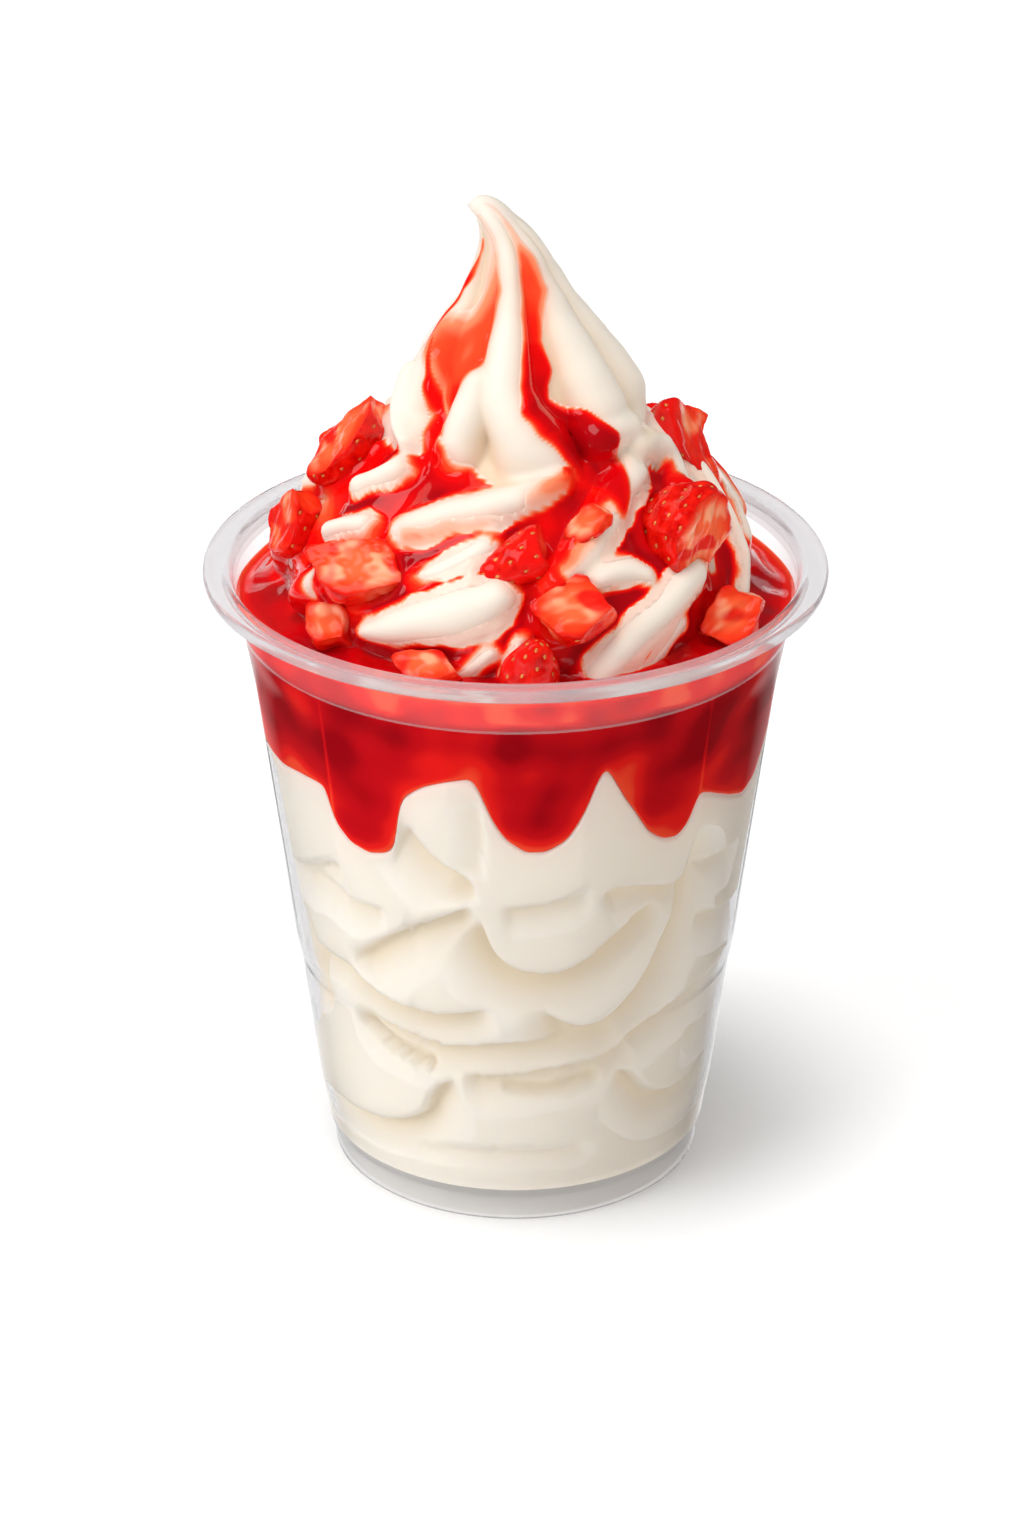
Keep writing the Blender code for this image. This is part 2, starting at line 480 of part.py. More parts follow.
def berry(name, kind, size, finish):
    """One cut piece of strawberry about its own centre: a rounded body with flat cut faces.

    A tip keeps the pointed end, a wedge has two long cuts, and a slab is cut on most sides.
    """
    mesh = bpy.data.meshes.new(name)
    body = bmesh.new()
    bmesh.ops.create_uvsphere(body, u_segments=8, v_segments=5, radius=1.0)
    for vertex in body.verts:
        z = vertex.co.z
        girth = 0.96 - 0.26 * z - 0.1 * z * z if z > 0 else 0.96 - 0.16 * z * z
        vertex.co.x, vertex.co.y = vertex.co.x * girth, vertex.co.y * girth
    cuts = {
        "tip": (((0.05, -0.12, -1.0), 0.35),),
        "wedge": (((0.1, 1.0, 0.0), 0.28), ((0.85, 0.1, 0.5), 0.62)),
        "slab": (((0.0, 1.0, 0.08), 0.42), ((0.1, -1.0, 0.12), 0.55), ((0.9, 0.05, -0.44), 0.66),
                 ((-0.75, 0.1, 0.66), 0.72)),
    }[kind]  # fmt: skip
    for normal, offset in cuts:
        normal = Vector(normal).normalized()
        geometry = body.verts[:] + body.edges[:] + body.faces[:]
        cut = bmesh.ops.bisect_plane(
            body, geom=geometry, plane_co=normal * offset, plane_no=normal, clear_outer=True, dist=1e-5
        )
        edges = [item for item in cut["geom_cut"] if isinstance(item, bmesh.types.BMEdge)]
        bmesh.ops.holes_fill(body, edges=edges, sides=0)
    spans = [(min(v.co[i] for v in body.verts), max(v.co[i] for v in body.verts)) for i in range(3)]
    middle = Vector([(low + high) / 2.0 for low, high in spans])
    for vertex in body.verts:
        for i, side in enumerate((size[1], size[2], size[0])):
            low, high = spans[i]
            vertex.co[i] = (vertex.co[i] - middle[i]) / (high - low) * side * MM
    bmesh.ops.remove_doubles(body, verts=body.verts[:], dist=1e-5)
    bmesh.ops.recalc_face_normals(body, faces=body.faces[:])
    body.to_mesh(mesh)
    body.free()
    mesh.materials.append(finish)
    made = bpy.data.objects.new(name, mesh)
    bpy.context.scene.collection.objects.link(made)
    return made


def placed(piece, middle, along, face):
    """Turns a piece so that its long side and its main cut face look as asked, and moves it to its place."""
    along = Vector(along).normalized()
    side = along.cross(Vector(face)).normalized()
    face = side.cross(along)
    turn = Matrix((-side, face, along)).transposed().to_4x4()
    piece.matrix_world = Matrix.Translation(Vector(middle) * MM) @ turn
    return piece


def cutter_for(piece):
    """A copy of the piece, grown about its centre by the gap, to cut its bed with."""
    mesh = piece.data.copy()
    points = np.array([tuple(vertex.co) for vertex in mesh.vertices])
    centre = Vector(points.mean(axis=0))
    smallest = (points.max(axis=0) - points.min(axis=0)).min() / 2.0
    grow = 1.0 + BED_SHARE * GAP * MM / smallest
    mesh.transform(Matrix.Translation(centre) @ Matrix.Scale(grow, 4) @ Matrix.Translation(-centre))
    made = bpy.data.objects.new(f"bed_{piece.name}", mesh)
    made.matrix_world = piece.matrix_world
    made.hide_render = True
    made.display_type = "WIRE"
    return made


def cut_beds(body, beds):
    """Cuts the beds of the fruit out of a body, and keeps its largest piece."""
    cut = body.modifiers.new("beds", "BOOLEAN")
    cut.operation = "DIFFERENCE"
    cut.operand_type = "COLLECTION"
    cut.collection = beds
    cut.solver = "EXACT"
    graph = bpy.context.evaluated_depsgraph_get()
    mesh = bpy.data.meshes.new_from_object(body.evaluated_get(graph))
    body.modifiers.remove(cut)
    old = body.data
    body.data = mesh
    mesh.name = old.name
    bpy.data.meshes.remove(old)
    keep_largest(mesh)


def keep_largest(mesh):
    """Removes every loose crumb of a mesh but its largest piece."""
    body = bmesh.new()
    body.from_mesh(mesh)
    bmesh.ops.triangulate(body, faces=body.faces[:])
    seen, pieces = set(), []
    for face in body.faces:
        if face in seen:
            continue
        piece, front = [], [face]
        seen.add(face)
        while front:
            here = front.pop()
            piece.append(here)
            for edge in here.edges:
                for other in edge.link_faces:
                    if other not in seen:
                        seen.add(other)
                        front.append(other)
        pieces.append(piece)
    pieces.sort(key=len)
    for piece in pieces[:-1]:
        bmesh.ops.delete(body, geom=piece, context="FACES")
    body.to_mesh(mesh)
    body.free()


def main():
    """Builds the cup, the soft serve, the sauce and the fruit."""
    cleared_scene()
    clear = material("clear_cup", (0.93, 0.94, 0.95), 0.08, 0.9)
    cream = material("soft_serve", (0.93, 0.88, 0.78), 0.4)
    sauce = material("strawberry_sauce", (0.62, 0.01, 0.012), 0.12)
    fruit = material("strawberry", (0.78, 0.09, 0.05), 0.25)

    build_cup(clear)
    serve = build_cream(cream)
    pool = build_sauce(sauce)
    pieces = []
    for name, kind, middle, size, along, face in FRUIT:
        pieces.append(placed(berry(name, kind, size, fruit), middle, along, face))
    beds = bpy.data.collections.new("beds")
    bpy.context.scene.collection.children.link(beds)
    bpy.context.view_layer.update()
    for piece in pieces:
        beds.objects.link(cutter_for(piece))
    bpy.context.view_layer.update()
    for body in (serve, pool):
        cut_beds(body, beds)
    for bed in list(beds.objects):
        bpy.data.objects.remove(bed, do_unlink=True)
    bpy.data.collections.remove(beds)


main()
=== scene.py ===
"""The looks of a strawberry sundae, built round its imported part.

The part gives the size and the place of everything. Here each of its solids is replaced by a finer piece with
a finish of its own: a clear fluted cup, folded soft serve, glossy sauce, and cut strawberries with seeds.

Lengths are millimetres up to the moment that a mesh is made. The front of the cup faces -Y, and angles are
degrees from the front, positive towards +X.
"""

import logging
import math
from dataclasses import dataclass, field
from enum import Enum, IntEnum
from typing import Iterable, Optional, Sequence

import bmesh
import bpy
import numpy as np
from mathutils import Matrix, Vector


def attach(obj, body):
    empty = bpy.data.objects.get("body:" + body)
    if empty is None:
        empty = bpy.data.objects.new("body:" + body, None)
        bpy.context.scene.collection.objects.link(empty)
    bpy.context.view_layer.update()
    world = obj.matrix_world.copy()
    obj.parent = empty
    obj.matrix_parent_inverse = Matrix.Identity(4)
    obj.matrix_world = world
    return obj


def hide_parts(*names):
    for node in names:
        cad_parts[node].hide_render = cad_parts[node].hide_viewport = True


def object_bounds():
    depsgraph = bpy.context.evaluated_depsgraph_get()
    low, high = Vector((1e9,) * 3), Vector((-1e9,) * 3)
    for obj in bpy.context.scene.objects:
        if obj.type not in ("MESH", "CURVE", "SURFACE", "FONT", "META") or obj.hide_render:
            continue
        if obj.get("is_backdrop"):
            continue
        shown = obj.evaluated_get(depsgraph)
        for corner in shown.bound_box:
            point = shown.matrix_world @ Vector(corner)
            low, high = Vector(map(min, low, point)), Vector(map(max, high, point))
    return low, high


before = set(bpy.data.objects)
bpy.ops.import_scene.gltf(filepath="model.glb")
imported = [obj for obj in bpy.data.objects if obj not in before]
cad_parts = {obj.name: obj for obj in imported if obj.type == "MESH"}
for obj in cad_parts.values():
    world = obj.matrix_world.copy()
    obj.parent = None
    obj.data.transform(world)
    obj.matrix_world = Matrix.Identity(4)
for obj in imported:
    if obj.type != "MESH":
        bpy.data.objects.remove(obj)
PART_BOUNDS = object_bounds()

LOG = logging.getLogger("sundae")
MM = 0.001
TURN = 360.0

Triple = tuple[float, float, float]
Span = tuple[float, float]
Path = tuple[tuple[float, ...], ...]


# ---------------------------------------------------------------------------------------------- measuring


def eased(value: np.ndarray, low: float, high: float) -> np.ndarray:
    """0 below low, 1 above high, and a smooth step between."""
    share = np.clip((np.asarray(value, float) - low) / (high - low), 0.0, 1.0)
    return share * share * (3.0 - 2.0 * share)


def wrapped(degrees: np.ndarray) -> np.ndarray:
    """The same angle between -180 and 180."""
    return (np.asarray(degrees, float) + 180.0) % TURN - 180.0


def column_angles(columns: int) -> np.ndarray:
    """Angle of each column of a grid, in degrees from the front."""
    return np.arange(columns) * TURN / columns


def round_axis(degrees: np.ndarray, radius: np.ndarray, height: np.ndarray) -> np.ndarray:
    """Points round the cup's axis.

    Args:
        degrees: their angles from the front.
        radius: one number, or one for each angle.
        height: one number, or one for each angle.

    Returns:
        Rows of x, y and z.
    """
    turn = np.radians(degrees)
    radius, height = np.broadcast_to(radius, turn.shape), np.broadcast_to(height, turn.shape)
    return np.stack([radius * np.sin(turn), -radius * np.cos(turn), height], axis=1)


def ring(radius: np.ndarray, height: np.ndarray, columns: int) -> np.ndarray:
    """One closed row of points round the axis, one a column."""
    return round_axis(column_angles(columns), radius, height)


def read_path(path: Path, at: np.ndarray, value: int = 1) -> np.ndarray:
    """A value of a path whose points begin with their own place, read at other places."""
    return np.interp(at, [point[0] for point in path], [point[value] for point in path])


def along_path(path: Path, count: int, value: int, missing: float = 0.0) -> np.ndarray:
    """A value of a path's points at evenly spread places from its first point to its last.

    Args:
        path: the points.
        count: how many places.
        value: which number of each point.
        missing: what a point has that stops before this number.

    Returns:
        One value a place.
    """
    given = [point[value] if len(point) > value else missing for point in path]
    return np.interp(np.linspace(0.0, len(path) - 1.0, count), np.arange(len(path)), given)


def waves(points: np.ndarray, size: float, seed: int, count: int = 14) -> np.ndarray:
    """A smooth, random rise and fall over space, about -1 to 1.

    Args:
        points: where to read it, as rows of x, y and z.
        size: the usual distance from one crest to the next.
        seed: another seed gives another pattern.
        count: how many plane waves are added up.

    Returns:
        One value a point.
    """
    source = np.random.default_rng(seed)
    total = np.zeros(points.shape[:-1])
    for _ in range(count):
        way = source.normal(size=3)
        way *= 2.0 * math.pi / (np.linalg.norm(way) * size * source.uniform(0.7, 1.7))
        total += np.cos(points @ way + source.uniform(0.0, 2.0 * math.pi))
    return total / math.sqrt(count)


@dataclass(frozen=True)
class Unevenness:
    """A smooth, random rise and fall: how strong it is, its usual size in millimetres, and its pattern."""

    amount: float
    size: float
    seed: int = 0

    def at(self, points: np.ndarray, shift: int = 0) -> np.ndarray:
        """Its value at each point; another shift gives another pattern."""
        return self.amount * waves(points, self.size, self.seed + shift)


def spread(grid: np.ndarray, rows: float, columns: float) -> np.ndarray:
    """A grid of values smoothed along its rows, which close on themselves, and across them.

    Args:
        grid: the values, by rows and columns.
        rows: how far they are smoothed from row to row, in rows.
        columns: how far they are smoothed along a row, in columns.

    Returns:
        The smoothed grid.
    """

    def weights(width: float) -> np.ndarray:
        """A bell curve of this width whose values add up to 1."""
        reach = max(1, int(math.ceil(3.0 * width)))
        bell = np.exp(-0.5 * (np.arange(-reach, reach + 1) / max(width, 1e-6)) ** 2)
        return bell / bell.sum()

    across = weights(columns)
    reach = len(across) // 2
    result = sum(w * np.roll(grid, k - reach, axis=1) for k, w in enumerate(across))
    along = weights(rows)
    reach = len(along) // 2
    padded = np.pad(result, ((reach, reach), (0, 0)), mode="edge")
    return sum(w * padded[k : k + len(grid)] for k, w in enumerate(along))


class SmoothTable:
    """Values at a few heights, read through a curve with no corners."""

    STEP = 0.05

    def __init__(self, rows: Sequence[Sequence[float]], value: int, rounding: float) -> None:
        """Reads column `value` of the rows and rounds its corners over about `rounding` millimetres.

        Args:
            rows: points that begin with their height, from low to high.
            value: which number of each point.
            rounding: how far the corners are rounded, in millimetres.
        """
        heights = [row[0] for row in rows]
        self.heights = np.arange(heights[0], heights[-1] + self.STEP, self.STEP)
        dense = np.interp(self.heights, heights, [row[value] for row in rows])
        self.values = spread(dense[:, None], rounding / self.STEP, 0.01)[:, 0]

    def __call__(self, height: np.ndarray) -> np.ndarray:
        """The value at a height."""
        return np.interp(height, self.heights, self.values)


@dataclass
class Reach:
    """How far points are from a line, on which side of it (+ is left of its way), and how far along."""

    away: np.ndarray
    side: np.ndarray
    along: np.ndarray


def reach_of(points: np.ndarray, line: np.ndarray, out: np.ndarray) -> Reach:
    """Measures points against a line that lies on the same surface.

    Args:
        points: rows of x, y and z.
        line: the line's own points.
        out: the surface's outward direction at each point.

    Returns:
        The distance, the side and the share of the line's length.
    """
    away = np.full(len(points), np.inf)
    side = np.zeros(len(points))
    along = np.zeros(len(points))
    steps = np.diff(line, axis=0)
    lengths = np.linalg.norm(steps, axis=1)
    begun = np.concatenate([[0.0], np.cumsum(lengths)])
    for k, (step, length) in enumerate(zip(steps, lengths)):
        if length < 1e-9:
            continue
        offset = points - line[k]
        share = np.clip(offset @ step / length**2, 0.0, 1.0)
        near = offset - share[:, None] * step
        distance = np.sqrt((near**2).sum(axis=1))
        closer = distance < away
        turned = (np.cross(step, offset) * out).sum(axis=1)
        away = np.where(closer, distance, away)
        side = np.where(closer, np.sign(turned), side)
        along = np.where(closer, (begun[k] + share * length) / begun[-1], along)
    return Reach(away, side, along)


# ---------------------------------------------------------------------------------------------- meshes


@dataclass
class Piece:
    """Points, faces and values that become one mesh object."""

    name: str
    points: list[np.ndarray] = field(default_factory=list)
    faces: list[tuple[int, ...]] = field(default_factory=list)
    face_slots: list[int] = field(default_factory=list)
    layers: dict[str, list[np.ndarray]] = field(default_factory=dict)
    count: int = 0

    def add_points(self, points: np.ndarray, **layers: np.ndarray) -> int:
        """Adds points with their values, and returns the number of the first.

        Args:
            points: rows of x, y and z.
            layers: by name, one value for all of the points or one for each.

        Returns:
            The number of the first of them.
        """
        first = self.count
        self.points.append(np.asarray(points, float).reshape(-1, 3))
        self.count += len(self.points[-1])
        for name, values in layers.items():
            filled = np.broadcast_to(np.asarray(values, float), (self.count - first,))
            self.layers.setdefault(name, []).append(filled)
        return first

    def add_faces(self, faces: Iterable[Sequence[int]], slot: int = 0) -> None:
        """Adds faces that take the finish in this slot.

        Args:
            faces: the numbers of each face's points.
            slot: the number of their finish.
        """
        before = len(self.faces)
        self.faces.extend(tuple(face) for face in faces)
        self.face_slots.extend([slot] * (len(self.faces) - before))

    def join_rings(self, low: int, low_count: int, high: int, high_count: int, slot: int = 0) -> None:
        """Joins a ring of points to the next one up, which has as many points or half as many.

        Args:
            low: the first point of the lower ring.
            low_count: how many points it has.
            high: the first point of the upper ring.
            high_count: how many points it has.
            slot: the number of the finish.
        """
        if low_count == high_count:
            j = np.arange(low_count)
            k = (j + 1) % low_count
            self.add_faces(np.stack([low + j, low + k, high + k, high + j], axis=1).tolist(), slot)
            return
        j = np.arange(high_count)
        k = (j + 1) % high_count
        a, b, c = low + 2 * j, low + 2 * j + 1, low + (2 * j + 2) % low_count
        self.add_faces(np.stack([a, b, high + j], axis=1).tolist(), slot)
        self.add_faces(np.stack([b, high + k, high + j], axis=1).tolist(), slot)
        self.add_faces(np.stack([b, c, high + k], axis=1).tolist(), slot)

    def cap(self, first: int, count: int, pole: int, upward: bool) -> None:
        """Closes a ring of points with a fan to a pole.

        Args:
            first: the first point of the ring.
            count: how many points it has.
            pole: the number of the pole's point.
            upward: whether the fan faces up.
        """
        j = np.arange(count)
        k = (j + 1) % count
        fan = (j, k) if upward else (k, j)
        faces = np.stack([first + fan[0], first + fan[1], np.full(count, pole)], axis=1)
        self.add_faces(faces.tolist())

    def build(self, finishes: Sequence[bpy.types.Material]) -> bpy.types.Object:
        """Makes the mesh object, in metres, with its finishes and its values.

        Args:
            finishes: the materials, by slot.

        Returns:
            The object.
        """
        mesh = bpy.data.meshes.new(self.name)
        mesh.from_pydata((np.concatenate(self.points) * MM).tolist(), [], self.faces)
        for finish in finishes:
            mesh.materials.append(finish)
        mesh.polygons.foreach_set("material_index", np.array(self.face_slots, np.int32))
        for name, parts in self.layers.items():
            layer = mesh.attributes.new(name, "FLOAT", "POINT")
            layer.data.foreach_set("value", np.concatenate(parts).astype(np.float32))
        mesh.shade_smooth()
        mesh.update()
        made = bpy.data.objects.new(self.name, mesh)
        bpy.context.scene.collection.objects.link(made)
        return made


def ridden(piece: bpy.types.Object, slot: str, *nodes: str) -> bpy.types.Object:
    """Lets a piece ride on the one body, hides the solids that it stands for, and logs them.

    Args:
        piece: the finished object.
        slot: not used.
        nodes: the solids that it stands for.

    Returns:
        The object.
    """
    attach(piece, "root")
    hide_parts(*nodes)
    triangles = sum(len(face.vertices) - 2 for face in piece.data.polygons)
    LOG.info("%s: %d triangles, for %s", piece.name, triangles, ", ".join(nodes))
    return piece


# ---------------------------------------------------------------------------------------------- finishes


class NodeTree:
    """A short way to write nodes."""

    def __init__(self, tree: bpy.types.NodeTree) -> None:
        """Takes the tree that the nodes go into."""
        self.tree = tree

    def feed(self, socket: bpy.types.NodeSocket, value: object) -> None:
        """Links a value to a socket, or sets it there when it is a constant."""
        if isinstance(value, bpy.types.NodeSocket):
            self.tree.links.new(value, socket)
        else:
            socket.default_value = value

    def node(self, kind: str, inputs: Optional[dict] = None, **settings: object) -> bpy.types.Node:
        """Adds a node.

        Args:
            kind: the node's type.
            inputs: what goes into its sockets, by name.
            settings: its options.

        Returns:
            The node.
        """
        made = self.tree.nodes.new(kind)
        for name, value in settings.items():
            setattr(made, name, value)
        for name, value in (inputs or {}).items():
            self.feed(made.inputs[name], value)
        return made

    def number(self, operation: str, *values: object, clamp: bool = False) -> bpy.types.NodeSocket:
        """A sum or the like of these values.

        Args:
            operation: what is done with them.
            values: sockets or numbers.
            clamp: keeps the result between 0 and 1.

        Returns:
            The result.
        """
        made = self.node("ShaderNodeMath", operation=operation, use_clamp=clamp)
        for socket, value in zip(made.inputs, values):
            self.feed(socket, value)
        return made.outputs["Value"]


class Shader(NodeTree):
    """The nodes of one material."""

    def __init__(self, name: str) -> None:
        """Starts an empty material of this name."""
        self.material = bpy.data.materials.new(name)
        self.material.use_nodes = True
        super().__init__(self.material.node_tree)
        self.tree.nodes.clear()

    def attribute(self, name: str) -> bpy.types.NodeSocket:
        """A value that the mesh carries."""
        return self.node("ShaderNodeAttribute", attribute_name=name).outputs["Fac"]

    def noise(self, scale: float, detail: float = 3.0) -> bpy.types.NodeSocket:
        """Noise in the object's own space, with this many features a metre.

        Args:
            scale: how many features it has a metre.
            detail: how fine it gets.

        Returns:
            A value from 0 to 1.
        """
        place = self.node("ShaderNodeTexCoord").outputs["Object"]
        settings = {"Vector": place, "Scale": scale, "Detail": detail}
        return self.node("ShaderNodeTexNoise", settings).outputs["Fac"]

    def ramp(self, value: bpy.types.NodeSocket, stops: Sequence[tuple]) -> bpy.types.NodeSocket:
        """A colour for each value, through (place, colour) stops.

        Args:
            value: from 0 to 1.
            stops: places on the way, each with its colour.

        Returns:
            The colour.
        """
        made = self.node("ShaderNodeValToRGB", {"Fac": value})
        made.color_ramp.interpolation = "EASE"
        elements = made.color_ramp.elements
        while len(elements) < len(stops):
            elements.new(0.5)
        for element, (place, colour) in zip(elements, stops):
            element.position = place
            element.color = (*colour, 1.0)
        return made.outputs["Color"]

    def spans(self, value: bpy.types.NodeSocket, low: float, high: float, start: float = 0.0,
              end: float = 1.0) -> bpy.types.NodeSocket:
        """A value that goes from start to end while the input goes from low to high.

        Args:
            value: the input.
            low: where the way starts.
            high: where it ends.
            start: the result at low.
            end: the result at high.

        Returns:
            The result.
        """
        given = {"Value": value, "From Min": low, "From Max": high, "To Min": start, "To Max": end}
        return self.node("ShaderNodeMapRange", given).outputs["Result"]

    def mixed(self, share: object, first: object, second: object) -> bpy.types.NodeSocket:
        """A colour between two colours.

        Args:
            share: how much of the second there is.
            first: a colour or a socket.
            second: a colour or a socket.

        Returns:
            The colour between them.
        """
        made = self.node("ShaderNodeMix", data_type="RGBA")
        self.feed(made.inputs[0], share)
        for socket, colour in ((made.inputs[6], first), (made.inputs[7], second)):
            self.feed(socket, colour if isinstance(colour, bpy.types.NodeSocket) else (*colour, 1.0))
        return made.outputs[2]

    def bump(self, height: bpy.types.NodeSocket, depth: float) -> bpy.types.NodeSocket:
        """A surface that seems raised by up to this many millimetres."""
        settings = {"Height": height, "Distance": depth * MM, "Strength": 1.0}
        return self.node("ShaderNodeBump", settings).outputs["Normal"]

    def principled(self, inputs: dict) -> bpy.types.NodeSocket:
        """The usual surface with these inputs."""
        return self.node("ShaderNodeBsdfPrincipled", inputs).outputs["BSDF"]

    def finish(self, surface: bpy.types.NodeSocket) -> bpy.types.Material:
        """Sends the surface to the output and returns the material.

        Args:
            surface: what the light meets.

        Returns:
            The material.
        """
        out = self.node("ShaderNodeOutputMaterial")
        self.tree.links.new(surface, out.inputs["Surface"])
        return self.material


@dataclass(frozen=True)
class ClearPlastic:
    """Thin clear plastic with a faint unevenness from its mould."""

    tint: Triple = (0.975, 0.975, 0.98)
    # Painted shade: a greyer, lilac tint where the wall is seen edge-on.
    side: Triple = (0.74, 0.74, 0.775)
    index: float = 1.42
    roughness: float = 0.02
    unevenness: float = 0.012
    shade: Triple = (0.93, 0.93, 0.935)
    through: float = 1.0
    name: str = "clear_cup"

    def material(self) -> bpy.types.Material:
        """Lets light through to what it holds, and bends what is seen through it.

        Returns:
            The material.
        """
        shader = Shader(self.name)
        noise = shader.noise(220.0)
        facing = shader.node("ShaderNodeLayerWeight", {"Blend": 0.5}).outputs["Facing"]
        inputs = {
            # Painted shade: the colour turns to side as the surface is seen more edge-on.
            "Base Color": shader.mixed(shader.spans(facing, 0.5, 0.9), self.tint, self.side),
            "Roughness": shader.spans(noise, 0.3, 0.7, self.roughness, self.roughness * 3.0),
            "IOR": self.index,
            "Transmission Weight": self.through,
            "Normal": shader.bump(noise, self.unevenness),
        }
        solid = shader.principled(inputs)
        passing = shader.node("ShaderNodeBsdfTransparent", {"Color": (*self.shade, 1.0)}).outputs["BSDF"]
        to_lamp = shader.node("ShaderNodeLightPath").outputs["Is Shadow Ray"]
        mix = shader.node("ShaderNodeMixShader", {"Fac": to_lamp})
        shader.tree.links.new(solid, mix.inputs[1])
        shader.tree.links.new(passing, mix.inputs[2])
        return shader.finish(mix.outputs["Shader"])


@dataclass(frozen=True)
class Cream:
    """Soft serve: off-white, with painted shade (a darker, warmer colour) in its hollows, and pink where
    sauce has stained it.
    """

    ridge: Triple = (0.82, 0.755, 0.665)
    # Painted shade: the darker, warmer colour given to the folds and hollows.
    hollow: Triple = (0.76, 0.62, 0.45)
    stain: Triple = (0.90, 0.36, 0.24)
    roughness: float = 0.38
    scatter: float = 0.2
    gloss: float = 0.35
    name: str = "soft_serve"

    def material(self) -> bpy.types.Material:
        """A soft surface whose light spreads a little inside it.

        Returns:
            The material.
        """
        shader = Shader(self.name)
        noise = shader.noise(900.0, 4.0)
        # Painted shade: towards the hollow value the colour goes darker and warmer.
        ridge_with_painted_shade = shader.mixed(shader.attribute("hollow"), self.ridge, self.hollow)
        colour = shader.mixed(shader.attribute("stain"), ridge_with_painted_shade, self.stain)
        inputs = {
            "Base Color": colour,
            "Roughness": shader.spans(noise, 0.3, 0.7, self.roughness - 0.06, self.roughness + 0.08),
            "Specular IOR Level": self.gloss,
            "Subsurface Weight": self.scatter,
            "Subsurface Radius": (1.0, 0.75, 0.5),
            "Subsurface Scale": 0.0009,
            "Normal": shader.bump(noise, 0.02),
        }
        return shader.finish(shader.principled(inputs))


@dataclass(frozen=True)
class Syrup:
    """Strawberry sauce: the thicker it lies, the deeper its red."""

    name: str = "strawberry_sauce"
    gloss: float = 0.3
    coat: float = 0.6
    deepest: float = 3.0
    stops: tuple = (
        (0.0, (0.86, 0.64, 0.53)),
        (0.022, (0.91, 0.48, 0.34)),
        (0.06, (0.93, 0.25, 0.12)),
        (0.13, (0.95, 0.065, 0.018)),
        (0.21, (0.92, 0.014, 0.005)),
        (0.30, (0.84, 0.002, 0.002)),
        (0.60, (0.58, 0.001, 0.003)),
        (1.0, (0.36, 0.001, 0.004)),
    )

    def material(self) -> bpy.types.Material:
        """A wet, glossy red.

        Returns:
            The material.
        """
        shader = Shader(self.name)
        noise = shader.noise(260.0, 2.0)
        depth = shader.spans(shader.attribute("thickness"), 0.0, self.deepest)
        inputs = {
            "Base Color": shader.ramp(depth, self.stops),
            "Roughness": shader.spans(noise, 0.3, 0.7, 0.05, 0.10),
            "Specular IOR Level": self.gloss,
            "Coat Weight": self.coat,
            "Coat Roughness": 0.02,
            "Coat IOR": 1.4,
            "Normal": shader.bump(noise, 0.06),
        }
        return shader.finish(shader.principled(inputs))


@dataclass(frozen=True)
class BerryFlesh:
    """Strawberry: dark red skin, and flesh that pales inwards with light streaks, under a wet glaze."""

    skin: Triple = (0.56, 0.001, 0.001)
    skin_light: Triple = (0.84, 0.010, 0.003)
    rim: Triple = (0.82, 0.018, 0.007)
    flesh: Triple = (0.90, 0.045, 0.010)
    heart: Triple = (0.93, 0.130, 0.042)
    streak: Triple = (0.96, 0.47, 0.26)
    glaze: Triple = (0.80, 0.006, 0.004)

    def material(self) -> bpy.types.Material:
        """Skin, flesh and glaze by the values that the mesh carries.

        Returns:
            The material.
        """
        shader = Shader("strawberry")
        noise = shader.noise(700.0, 4.0)
        stops = ((0.0, self.rim), (0.16, self.flesh), (0.5, self.heart))
        inside = shader.ramp(shader.attribute("core"), stops)
        streaked = shader.mixed(shader.attribute("streak"), inside, self.streak)
        skin = shader.mixed(shader.spans(noise, 0.35, 0.65), self.skin, self.skin_light)
        plain = shader.mixed(shader.attribute("skin"), streaked, skin)
        inputs = {
            "Base Color": shader.mixed(shader.attribute("glaze"), plain, self.glaze),
            "Roughness": shader.spans(noise, 0.3, 0.7, 0.12, 0.24),
            "Subsurface Weight": 0.15,
            "Subsurface Radius": (1.0, 0.3, 0.15),
            "Subsurface Scale": 0.0015,
            "Specular IOR Level": 0.2,
            "Coat Weight": 0.4,
            "Coat Roughness": 0.04,
            "Normal": shader.bump(noise, 0.06),
        }
        return shader.finish(shader.principled(inputs))


@dataclass(frozen=True)
class SeedShell:
    """The small dry seeds of a strawberry."""

    dark: Triple = (0.55, 0.12, 0.03)
    light: Triple = (0.80, 0.33, 0.08)

    def material(self) -> bpy.types.Material:
        """Straw yellow to brown, different from seed to seed.

        Returns:
            The material.
        """
        shader = Shader("strawberry_seed")
        share = shader.spans(shader.noise(900.0), 0.35, 0.65)
        inputs = {"Base Color": shader.mixed(share, self.dark, self.light), "Roughness": 0.25}
        return shader.finish(shader.principled(inputs))


@dataclass(frozen=True)
class Paper:
    """The plain white sweep that the cup stands on."""

    white: Triple = (0.88, 0.88, 0.88)
    glow: float = 0.14

    def material(self) -> bpy.types.Material:
        """A matt white with a trace of grain.

        Returns:
            The material.
        """
        shader = Shader("paper")
        grain = shader.noise(40.0)
        soft = tuple(0.995 * value for value in self.white)
        inputs = {
            "Base Color": shader.mixed(grain, self.white, soft),
            "Roughness": 0.9,
            "Specular IOR Level": 0.0,
            "Emission Color": (1.0, 1.0, 1.0, 1.0),
            "Emission Strength": self.glow,
        }
        return shader.finish(shader.principled(inputs))


# ---------------------------------------------------------------------------------------------- cup


